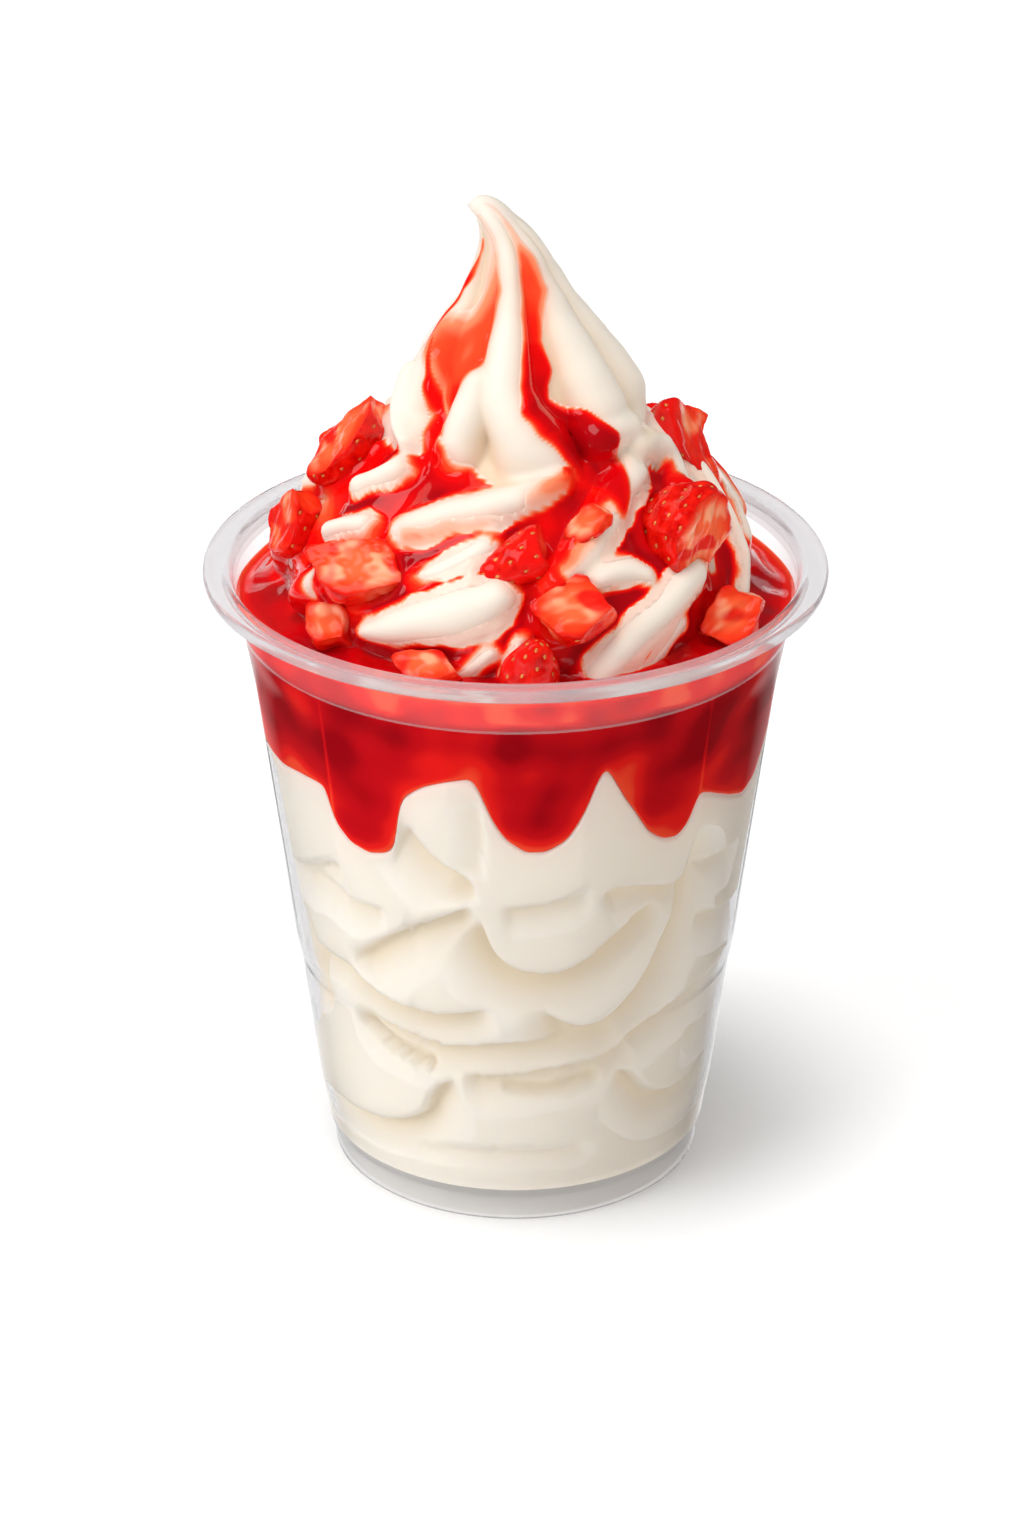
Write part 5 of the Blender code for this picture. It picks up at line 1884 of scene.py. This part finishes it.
    def bare_strokes(self, shape: SwirlShape) -> Iterable[Stroke]:
        """Every bare stroke: the named ones in front, and the crest of each ridge behind.

        Args:
            shape: the ridges of the soft serve.

        Returns:
            Each stroke in turn.
        """
        yield from self.bare
        for number, ridge in enumerate(shape.back()):
            path = ridge.path[2:-1] if number % 2 else ridge.path[4:]
            if len(path) > 2:
                yield Stroke(1.0, self.back_bare, self.back_bare * 0.8, tuple(path))


@dataclass
class Coating:
    """The sauce on the points of the swirl.

    `jitter` makes its edges uneven. `thickness` is how high it stands, `depth` is its depth of colour, and
    `beside` is how far a point is from the nearest sauce.
    """

    points: np.ndarray
    out: np.ndarray
    heights: np.ndarray
    degrees: np.ndarray
    jitter: np.ndarray
    thickness: np.ndarray
    depth: np.ndarray
    beside: np.ndarray

    def add(self, thickness: np.ndarray, depth: np.ndarray, inside: np.ndarray) -> None:
        """Lays more sauce over it.

        Args:
            thickness: of the new sauce.
            depth: its depth of colour.
            inside: how far each point is in from its edge.
        """
        self.thickness = np.maximum(self.thickness, thickness)
        self.depth = np.maximum(self.depth, depth)
        self.beside = np.minimum(self.beside, -inside)


@dataclass
class Sauce:
    """The strawberry sauce: one body with the drips inside the wall, the pool, and the cover of the mound."""

    wall: CupWall
    serve: SoftServe
    berries: Sequence[Berry]
    layout: SauceLayout = SauceLayout()
    finish: Syrup = Syrup()
    wall_finish: Syrup = Syrup(
        name="strawberry_sauce_on_wall", gloss=0.0, coat=0.0,
        stops=((0.0, (0.95, 0.16, 0.07)), (0.13, (0.95, 0.075, 0.030)), (0.28, (0.86, 0.014, 0.012)),
               (0.60, (0.60, 0.004, 0.010)), (1.0, (0.36, 0.001, 0.006))),
    )
    into_wall: float = 0.1
    on_wall: float = 1.35
    # The pool: its level in front, how far it climbs the wall, and how much lower it lies behind.
    level: float = 92.4
    climb: float = 0.8
    back_drop: float = 1.5
    back_turn: tuple[float, float] = (74.0, 112.0)
    pool_rim: Path = ((0.0, 0.0, 0.3), (0.25, -0.25, 0.4), (0.7, -0.5, 0.6), (1.3, -0.65, 0.8))
    pool_sag: float = 0.5
    # The mound: the thin sauce's thickness, how soon it gets there, its colour, and the flood in the hollows.
    film: float = 0.4
    ease: float = 1.3
    edge_rise: float = 0.22
    edge_waves: tuple[Unevenness, ...] = (Unevenness(0.42, 4.8, 11), Unevenness(0.10, 2.2, 12))
    tone: float = 1.8
    tone_low: float = 0.8
    tone_patches: Unevenness = Unevenness(0.35, 9.0, 15)
    flood: float = 0.5
    flood_top: float = 0.1
    flood_span: Span = (95.0, 112.0)
    flood_smoothing: Span = (5.5, 6.0)
    # Above its upper limit it sinks away; low on the mound its colour is deeper.
    limit_drop: float = 3.0
    limit_span: Span = (-0.8, 0.6)
    low_tone: float = 1.3
    low_span: Span = (94.0, 100.0)
    low_reach: float = 1.2
    above_waist: float = 6.0
    # The peak: how uneven the films' and streams' edges and colours are, and where the stains fade out.
    film_jitter: float = 0.3
    film_patches: Unevenness = Unevenness(0.14, 5.0, 17)
    stream_jitter: float = 0.5
    stream_patches: Unevenness = Unevenness(0.2, 5.0, 18)
    stain_span: Span = (141.0, 150.0)
    stain_fade: float = 0.7
    line_points: int = 40
    wall_rows: int = 20
    pool_rows: int = 8
    first_height: float = 93.6
    # The drips' rounded lower edge: how far above it, and how far in from the wall.
    edge_rows: Path = ((1.1, 1.3), (0.25, 0.95), (-0.2, 0.5), (-0.3, 0.1), (-0.05, -0.1))
    edge_top: float = 0.25
    edge_tone: float = 0.3
    edge_inset: float = 1.0
    edge_skin: float = 0.35
    edge_lift: float = 0.45
    inner_lift: float = 0.1
    below_level: float = 0.6
    # A drip's depth of colour: at its edge, what comes on top and how soon, and what each further millimetre
    # adds.
    drip_tone: tuple[float, ...] = (0.42, 0.75, 0.9, 0.17)
    deepest: float = 2.2
    drip_patches: Unevenness = Unevenness(0.36, 9.0, 61)
    collar_span: Span = (87.6, 89.4)
    collar_patches: Unevenness = Unevenness(0.6, 6.5, 62)
    # The pale lines between panels, thinner sauce with a painted highlight along the flutes: how much colour
    # they lose, how wide they are, and between which angles from the front they come in.
    thinning_and_painted_highlight: float = 0.6
    line_half: float = 0.45
    line_turn: Span = (20.0, 40.0)
    middle_radius: float = 38.5
    edge_reach: int = 18
    skin: float = 0.8
    fade: float = 0.9
    fade_shift: float = 0.3
    ripple: Unevenness = Unevenness(0.14, 4.2, 21)
    ripple_span: Span = (0.3, 0.9)
    rise_smoothing: Span = (0.6, 0.9)
    lowest: float = -0.7
    pool_ripple: Unevenness = Unevenness(0.18, 6.0, 31)
    pool_patches: Unevenness = Unevenness(0.3, 12.0, 33)
    pool_tone: Triple = (0.9, 1.2, 0.3)
    # Round the fruit: how high it climbs, where and how widely, and the thickness that it takes.
    fruit_climb: float = 0.9
    fruit_place: float = 1.02
    fruit_width: float = 0.13
    fruit_span: Span = (0.1, 0.5)
    stain: float = 0.36
    stain_reach: float = 0.8
    grid: dict[str, np.ndarray] = field(default_factory=dict)

    def levels(self, columns: int) -> np.ndarray:
        """Height of the pool at every column: lower behind."""
        return self.level - self.back_drop * eased(np.abs(wrapped(column_angles(columns))), *self.back_turn)

    def edge_distance(self, heights: np.ndarray) -> np.ndarray:
        """Measures the wall's grid against the lower edge of the sauce.

        Args:
            heights: of the grid's points, by rows and columns.

        Returns:
            The distance along the wall from each point to the edge.
        """
        columns = self.serve.columns
        edge = self.serve.drips.heights(columns)
        pitch = math.radians(TURN / columns) * self.middle_radius
        away = np.full(heights.shape, np.inf)
        for shift in range(-self.edge_reach, self.edge_reach + 1):
            beside = np.hypot(shift * pitch, heights - np.roll(edge, -shift)[None, :])
            away = np.minimum(away, beside)
        return away

    def wall_part(self) -> tuple[np.ndarray, np.ndarray, np.ndarray]:
        """The rows on the wall: outer face, inner face and thickness.

        Returns:
            The three, by rows and columns.
        """
        columns = self.serve.columns
        degrees = column_angles(columns)
        edge = self.serve.drips.heights(columns)
        outer, inner, depth = [], [], []
        for above, back in self.edge_rows:
            height = edge + above
            radius = self.wall.inside(degrees, height)
            outer.append(ring(radius - back, height, columns))
            inset = max(back, self.edge_inset) + self.edge_skin
            inner.append(ring(radius - inset, height + self.edge_lift, columns))
            depth.append(np.full(columns, self.edge_tone))
        share = np.linspace(0.0, 1.0, self.wall_rows)[:, None]
        rise = self.levels(columns) - self.below_level - edge - self.edge_top
        heights = edge + self.edge_top + rise * share
        at_edge, added, soon, further = self.drip_tone
        away = self.edge_distance(heights)
        for height, far in zip(heights, away):
            radius = self.wall.inside(degrees, height)
            outer.append(ring(radius + self.into_wall, height, columns))
            inner.append(ring(radius - self.on_wall, height + self.inner_lift, columns))
            border = (1.0 - np.abs(wrapped(degrees * self.wall.panels) / 180.0)) * 180.0 / self.wall.panels
            turned = eased(np.abs(wrapped(degrees)), *self.line_turn)
            # Pale lines at the panel borders: thinner sauce, and partly a painted highlight along the flutes
            # away from the front.
            thin = 1.0 - self.thinning_and_painted_highlight * turned * np.exp(-((border / self.line_half) ** 2))
            depth.append((at_edge + added * (1.0 - np.exp(-far / soon)) + further * far) * thin)
        outer_rows = np.array(outer)
        deep = np.minimum(np.array(depth), self.deepest) * (1.0 + self.drip_patches.at(outer_rows))
        collar = eased(outer_rows[..., 2], *self.collar_span)
        deep = deep * (1.0 - collar) + collar * (1.0 + self.collar_patches.at(outer_rows))
        return outer_rows, np.array(inner), np.maximum(deep, self.edge_tone)

    def on_mound(self) -> Coating:
        """The sauce on the mound: thin over what it covers, and level where it floods the hollows.

        Returns:
            The sauce, without the films and the streams.
        """
        columns = self.serve.columns
        levels = self.serve.swirl_heights()
        outline, out, push, _ = self.serve.whole_grid()
        points, out = outline.reshape(-1, 3), out.reshape(-1, 3)
        heights = np.repeat(levels, columns)
        degrees = np.tile(wrapped(column_angles(columns)), len(levels))
        jitter = sum(wave.at(points) for wave in self.edge_waves)
        covered = np.full(len(points), 9.0)
        for stroke in self.layout.bare_strokes(self.serve.shape):
            near, half, _ = self.serve.swirl.beside(stroke, points, out, self.line_points)
            covered = np.minimum(covered, near.away - half)
        below = read_path(self.layout.limit, degrees) - heights + jitter
        covered = covered + jitter
        plain = push.reshape(-1)
        smooth = spread(push, *self.flood_smoothing).reshape(-1)
        coated = 1.0 - np.exp(-((np.clip(covered, 0.0, None) / self.ease) ** 2))
        coat = plain + self.film * coated + self.edge_rise * np.clip(covered, -2.0, 1.0)
        flood = smooth + self.flood * (1.0 - eased(heights, *self.flood_span)) + self.flood_top
        surface = np.maximum(coat, flood) - self.limit_drop * (1.0 - eased(below, *self.limit_span))
        thickness = surface - plain
        uneven = self.tone_low + self.tone_patches.at(points)
        depth = self.tone * np.clip(thickness, 0.0, None) * uneven
        low = self.low_tone * (1.0 - eased(heights, *self.low_span))
        depth = depth + low * np.clip(covered / self.low_reach, 0.0, 1.0)
        depth = depth * np.clip((covered + self.fade_shift) / self.fade, 0.0, 1.0)
        depth = np.where(heights < self.serve.swirl.waist + self.above_waist, depth, 0.0)
        beside = -np.minimum(covered, below)
        return Coating(points, out, heights, degrees, jitter, thickness, depth, beside)

    def add_films(self, lay: Coating) -> None:
        """Lays the broad films on the peak.

        Args:
            lay: the sauce that they are added to.
        """
        pitch = np.radians(1.0) * self.serve.swirl.radius(lay.heights)
        jitter = self.film_jitter * lay.jitter
        uneven = 1.0 + self.film_patches.at(lay.points)
        for left_fade, right_fade, film in self.layout.films:
            left, right, tint = (read_path(film, lay.heights, value) for value in (1, 2, 3))
            ends = np.minimum(lay.heights - film[0][0], film[-1][0] - lay.heights) + 0.5
            from_left, from_right = (lay.degrees - left) * pitch, (right - lay.degrees) * pitch
            inside = np.minimum(np.minimum(from_left, from_right), ends) + jitter
            thickness = self.ribbon(inside, 0.1 + 0.3 * tint, 0.5 + 0.5 * left_fade)
            faded = np.clip((from_left + jitter) / left_fade, 0.0, 1.0)
            faded = faded * np.clip((from_right + jitter) / right_fade, 0.0, 1.0)
            lay.add(thickness, tint * faded * uneven * (ends > 0.0), inside)

    def add_streams(self, lay: Coating) -> None:
        """Lays the streams on the peak and the thin stains on the mound's ridges.

        Args:
            lay: the sauce that they are added to.
        """
        uneven = 1.0 + self.stream_patches.at(lay.points)
        for stroke in (*self.layout.streams, *self.layout.stains):
            near, half, tint = self.serve.swirl.beside(stroke, lay.points, lay.out, self.line_points)
            inside = half - near.away + self.stream_jitter * lay.jitter * np.minimum(half, 1.0)
            rounding = np.clip(half, 0.2, 0.9 + 0.7 * stroke.size)
            size = stroke.size * np.clip(half / 1.8, 0.45, 1.0)
            faded = np.clip(inside / np.minimum(half, 1.5), 0.0, 1.0)
            lay.add(self.ribbon(inside, size, rounding), tint * faded * uneven, inside)

    def cover(self) -> dict[str, np.ndarray]:
        """The swirl's grid with the sauce on it, worked out once.

        Returns:
            By name, the outline, its outward directions, the push, the heights of the rows, and the sauce's
            thickness, depth of colour and stain beside it.
        """
        if self.grid:
            return self.grid
        outline, out, push, _ = self.serve.whole_grid()
        lay = self.on_mound()
        self.add_films(lay)
        self.add_streams(lay)
        stain = self.stain * np.exp(-np.clip(lay.beside, 0.0, None) / self.stain_reach)
        stain = stain * (1.0 - self.stain_fade * eased(lay.heights, *self.stain_span))
        found = {"thickness": lay.thickness, "depth": lay.depth, "stain": stain}
        self.grid = {name: values.reshape(push.shape) for name, values in found.items()}
        self.grid.update(outline=outline, out=out, push=push, heights=self.serve.swirl_heights())
        return self.grid

    @staticmethod
    def ribbon(inside: np.ndarray, size: np.ndarray, rounding: np.ndarray) -> np.ndarray:
        """The rounded section of a stream: its thickness by the distance in from its edge."""
        share = np.clip(inside / rounding, -0.4, 1.0)
        return size * (1.0 - (1.0 - share) ** 2)

    def stains(self) -> np.ndarray:
        """How pink the soft serve is beside the sauce, at each point of the swirl's grid."""
        return self.cover()["stain"]

    def around_fruit(self, points: np.ndarray, thickness: np.ndarray) -> np.ndarray:
        """Sauce that climbs a little round each piece of fruit, where there is sauce at all.

        Args:
            points: of the soft serve, by rows and columns.
            thickness: of the sauce on each.

        Returns:
            The new thickness.
        """
        extra = np.zeros(points.shape[:-1])
        for berry in self.berries:
            share = berry.share_out(points.reshape(-1, 3)).reshape(extra.shape)
            near = np.exp(-(((share - self.fruit_place) / self.fruit_width) ** 2))
            extra = np.maximum(extra, self.fruit_climb * near)
        return thickness + extra * eased(thickness, *self.fruit_span)

    def build(self) -> bpy.types.Object:
        """Makes the sauce as one closed body.

        Returns:
            The piece.
        """
        outer, inner, wall_depth = self.wall_part()
        found = self.cover()
        above = found["heights"] >= self.first_height
        grid = {name: values[above] for name, values in found.items()}
        cream = grid["outline"] + grid["out"] * grid["push"][..., None]
        coarse = grid["heights"] >= self.serve.fine_top
        kept = cream[coarse, ::2]
        cream[coarse, 1::2] = (kept + np.roll(kept, -1, axis=1)) / 2.0
        thickness = spread(self.around_fruit(cream, grid["thickness"]), *self.rise_smoothing)
        thickness = np.maximum(thickness, self.lowest)
        ripple = self.ripple.at(cream) * eased(thickness, *self.ripple_span)
        top = cream + self.way_out(cream, grid["out"], thickness) * (thickness + ripple)[..., None]
        under = cream - grid["out"] * self.skin
        pool_top, pool_under, pool_depth = self.pool(top[0], under[0])
        surface = np.concatenate([outer, pool_top, top])
        beneath = np.concatenate([inner, pool_under, under])
        depth = np.concatenate([wall_depth, pool_depth, grid["depth"]])
        shown = np.ones(depth.shape, bool)
        shown[-len(thickness) :] = thickness > 0.0
        piece = Piece("strawberry_sauce_sheet")
        first = piece.add_points(surface.reshape(-1, 3), thickness=depth.reshape(-1))
        second = piece.add_points(beneath.reshape(-1, 3), thickness=depth.reshape(-1))
        self.add_sheet(piece, shown, first, second, len(outer))
        return ridden(self.without_loose(piece), "strawberry_sauce", "strawberry_sauce")

    @staticmethod
    def way_out(cream: np.ndarray, out: np.ndarray, thickness: np.ndarray) -> np.ndarray:
        """The way that the sauce rises: square to the soft serve where it is thin, outward where it floods.

        Args:
            cream: points of the soft serve, by rows and columns.
            out: the swirl's outward direction at each.
            thickness: of the sauce on each.

        Returns:
            One direction a point.
        """
        across = np.roll(cream, -1, axis=1) - np.roll(cream, 1, axis=1)
        square = np.cross(across, np.gradient(cream, axis=0))
        square /= np.maximum(np.linalg.norm(square, axis=-1, keepdims=True), 1e-9)
        share = (0.3 + 0.7 * eased(thickness, 0.5, 1.3))[..., None]
        way = out * share + square * (1.0 - share)
        way = np.stack([spread(way[..., k], 0.7, 1.0) for k in range(3)], axis=-1)
        return way / np.linalg.norm(way, axis=-1, keepdims=True)

    def pool(self, start_top: np.ndarray, start_under: np.ndarray) -> tuple[np.ndarray, ...]:
        """The pool's surface from the wall to the mound, with the rim that climbs the wall.

        Args:
            start_top: the sauce's first row on the mound.
            start_under: the row under it.

        Returns:
            The surface, what lies under it, and the depth of colour, by rows and columns.
        """
        columns = self.serve.columns
        degrees = column_angles(columns)
        contact = self.levels(columns) + self.climb
        wall_radius = self.wall.inside(degrees, contact) + self.into_wall
        rows, unders, depths = [], [], []
        shore, middle, inner = self.pool_tone
        for inward, height, depth in self.pool_rim:
            rows.append(ring(wall_radius - inward, contact + height, columns))
            depths.append(np.full(columns, depth))
        edge_ring = rows[-1]
        for share in np.linspace(0.0, 1.0, self.pool_rows + 2)[1:-1]:
            row = edge_ring * (1.0 - share) + start_top * share
            sag = self.pool_sag * math.sin(math.pi * share)
            row[:, 2] += -sag + self.pool_ripple.at(row)
            rows.append(row)
            uneven = 1.0 + self.pool_patches.at(row)
            depths.append((shore + middle * math.sin(math.pi * share) + inner * share) * uneven)
        for row in rows:
            below = row.copy()
            below[:, 2] = np.minimum(row[:, 2] - 2.0, start_under[:, 2] - 0.5)
            shrink = np.minimum(1.0, (wall_radius - self.on_wall) / np.hypot(row[:, 0], row[:, 1]))
            below[:, :2] *= shrink[:, None]
            unders.append(below)
        return np.array(rows), np.array(unders), np.array(depths)

    @staticmethod
    def add_sheet(piece: Piece, shown: np.ndarray, first: int, second: int, on_wall: int) -> None:
        """Adds the faces of a sheet with a thickness: top, bottom, and the sides round every opening.

        Args:
            piece: what they are added to.
            shown: which points have sauce, by rows and columns.
            first: the number of the top's first point.
            second: the number of the bottom's first point.
            on_wall: how many rows lie on the wall.
        """
        rows, columns = shown.shape
        right = np.roll(shown, -1, axis=1)
        kept = (shown | right)[:-1] | (shown | right)[1:]
        i, j = np.nonzero(kept)
        k = (j + 1) % columns
        a, b, c, d = i * columns + j, i * columns + k, (i + 1) * columns + k, (i + 1) * columns + j
        low = i < on_wall
        for rows_here, slot in ((low, 1), (~low, 0)):
            piece.add_faces((np.stack([a, b, c, d], axis=1)[rows_here] + first).tolist(), slot)
        piece.add_faces((np.stack([d, c, b, a], axis=1) + second).tolist())
        padded = np.zeros((rows + 1, columns), bool)
        padded[1:rows] = kept
        beside = {
            "low": (padded[i, j], (b, a)),
            "high": (padded[i + 2, j], (d, c)),
            "left": (kept[i, (j - 1) % columns], (a, d)),
            "right": (kept[i, k], (c, b)),
        }
        for neighbour, (start, end) in beside.values():
            open_side = ~neighbour
            start, end = start[open_side], end[open_side]
            faces = np.stack([start + first, end + first, end + second, start + second], axis=1)
            piece.add_faces(faces.tolist())

    def without_loose(self, piece: Piece) -> bpy.types.Object:
        """Builds the sheet and drops the points that no face uses.

        Args:
            piece: the sheet's points and faces.

        Returns:
            The object.
        """
        made = piece.build([self.finish.material(), self.wall_finish.material()])
        body = bmesh.new()
        body.from_mesh(made.data)
        loose = [vertex for vertex in body.verts if not vertex.link_faces]
        bmesh.ops.delete(body, geom=loose, context="VERTS")
        body.to_mesh(made.data)
        body.free()
        return made


# ---------------------------------------------------------------------------------------------- studio


@dataclass(frozen=True)
class Softbox:
    """A soft lamp: where it hangs, what it looks at, its sides in metres, and its strength in watts."""

    name: str
    place: Triple
    target: Triple
    sides: tuple[float, float]
    watts: float
    colour: Triple = (1.0, 1.0, 1.0)
    in_gloss: bool = True

    def build(self) -> bpy.types.Object:
        """Hangs the lamp.

        Returns:
            The lamp.
        """
        lamp = bpy.data.lights.new(self.name, "AREA")
        lamp.shape = "RECTANGLE"
        lamp.size, lamp.size_y = self.sides
        lamp.energy = self.watts
        lamp.color = self.colour
        made = bpy.data.objects.new(self.name, lamp)
        bpy.context.scene.collection.objects.link(made)
        made.location = self.place
        made.rotation_euler = (Vector(self.target) - Vector(self.place)).to_track_quat("-Z", "Y").to_euler()
        made.visible_camera = False
        made.visible_glossy = self.in_gloss
        return made


@dataclass(frozen=True)
class Overhead:
    """Even soft light from high on the left: its way down, its spread in radians and its strength."""

    name: str = "overhead"
    way: Triple = (0.10, 0.06, -1.1)
    spread: float = 0.42
    strength: float = 1.8

    def build(self) -> None:
        """Hangs the lamp, out of reflections."""
        lamp = bpy.data.lights.new(self.name, "SUN")
        lamp.angle = self.spread
        lamp.energy = self.strength
        made = bpy.data.objects.new(self.name, lamp)
        bpy.context.scene.collection.objects.link(made)
        made.rotation_euler = Vector(self.way).to_track_quat("-Z", "Y").to_euler()
        made.visible_glossy = False


@dataclass(frozen=True)
class Studio:
    """The white sweep, the soft lamps and the camera."""

    paper: Paper = Paper()
    floor_half: float = 3.0
    sky: float = 0.36
    dim: float = 0.05
    # In reflections the room is white from this far back, and gets there at these rates.
    white_from: float = 0.6
    white_side_rate: float = 4.0
    white_low_rate: float = 8.0
    aim: Triple = (-0.00053, 0.0, 0.0623)
    distance: float = 0.7857
    elevation: float = 26.42
    lens: float = 122.8
    sensor: float = 36.0
    overhead: Overhead = Overhead()
    lamps: tuple[Softbox, ...] = (
        Softbox("key", (-0.55, -0.35, 0.85), (0.0, 0.0, 0.08), (0.6, 0.6), 2.3),
        Softbox("left", (-0.95, -0.55, 0.5), (0.0, 0.0, 0.08), (0.6, 0.6), 3.4, in_gloss=False),
        Softbox("front", (0.1, -1.2, 0.5), (0.0, 0.0, 0.08), (1.0, 0.8), 1.8, in_gloss=False),
        Softbox("right", (0.6, -0.5, 0.25), (0.0, 0.0, 0.08), (0.5, 0.5), 0.6, (1.0, 0.8, 0.6), False),
    )

    def build(self) -> None:
        """Sets up all of it."""
        half = self.floor_half
        mesh = bpy.data.meshes.new("floor")
        mesh.from_pydata([(-half, -half, 0.0), (half, -half, 0.0), (half, half, 0.0), (-half, half, 0.0)], [],
                         [(0, 1, 2, 3)])
        mesh.materials.append(self.paper.material())
        floor = bpy.data.objects.new("floor", mesh)
        bpy.context.scene.collection.objects.link(floor)
        floor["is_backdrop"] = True
        floor.visible_glossy = False
        self.build_room()
        self.overhead.build()
        for lamp in self.lamps:
            lamp.build()
        self.build_camera()

    def build_room(self) -> None:
        """A white room: dimmer as light, and in reflections white only low down behind the cup."""
        world = bpy.data.worlds.new("room")
        world.use_nodes = True
        room = NodeTree(world.node_tree)
        path = room.node("ShaderNodeLightPath").outputs
        place = room.node("ShaderNodeSeparateXYZ")
        room.feed(place.inputs["Vector"], room.node("ShaderNodeTexCoord").outputs["Generated"])
        past_cup = room.number("SUBTRACT", place.outputs["Y"], self.white_from)
        behind = room.number("MULTIPLY", past_cup, self.white_side_rate, clamp=True)
        low = room.number("MULTIPLY", place.outputs["Z"], -self.white_low_rate, clamp=True)
        seen = room.number("MAXIMUM", room.number("MULTIPLY", behind, low), self.dim)
        direct = room.number("SUBTRACT", path["Is Transmission Ray"], path["Diffuse Depth"], clamp=True)
        seen = room.number("MAXIMUM", seen, direct)
        in_gloss = room.number("MULTIPLY", seen, path["Is Glossy Ray"])
        as_light = room.number("MULTIPLY", path["Is Diffuse Ray"], self.sky)
        either = room.number("ADD", path["Is Glossy Ray"], path["Is Diffuse Ray"])
        is_other = room.number("SUBTRACT", 1.0, either, clamp=True)
        strength = room.number("ADD", room.number("ADD", in_gloss, as_light), is_other)
        background = room.tree.nodes["Background"]
        room.feed(background.inputs["Color"], (1.0, 1.0, 1.0, 1.0))
        room.feed(background.inputs["Strength"], strength)
        bpy.context.scene.world = world

    def build_camera(self) -> None:
        """Looks down at the cup from the front."""
        tilt = math.radians(self.elevation)
        away = Vector((0.0, -math.cos(tilt), math.sin(tilt))) * self.distance
        camera = bpy.data.cameras.new("camera")
        camera.lens = self.lens
        camera.sensor_fit = "VERTICAL"
        camera.sensor_width = camera.sensor_height = self.sensor
        made = bpy.data.objects.new("camera", camera)
        bpy.context.scene.collection.objects.link(made)
        made.location = Vector(self.aim) + away
        made.rotation_euler = (-away).to_track_quat("-Z", "Y").to_euler()
        bpy.context.scene.camera = made
        bpy.context.scene.view_settings.view_transform = "Standard"


def write_sizes() -> None:
    """Works out the part's own bounds and those of the finished pieces; nothing is written."""
    sizes = [[[float(v) for v in corner] for corner in bounds] for bounds in (PART_BOUNDS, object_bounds())]


def main() -> None:
    """Builds the cup, the soft serve, the fruit, the sauce and the studio, in that order."""
    logging.basicConfig(level=logging.INFO, format="%(name)s: %(message)s")
    wall = CupWall()
    serve = SoftServe(wall, Swirl())
    sauce = Sauce(wall, serve, BERRIES)
    Cup(wall).build()
    serve.build(sauce.stains())
    maker = BerryMaker()
    for berry in BERRIES:
        maker.build(berry)
    sauce.build()
    Studio().build()
    write_sizes()


if __name__ == "__main__":
    main()
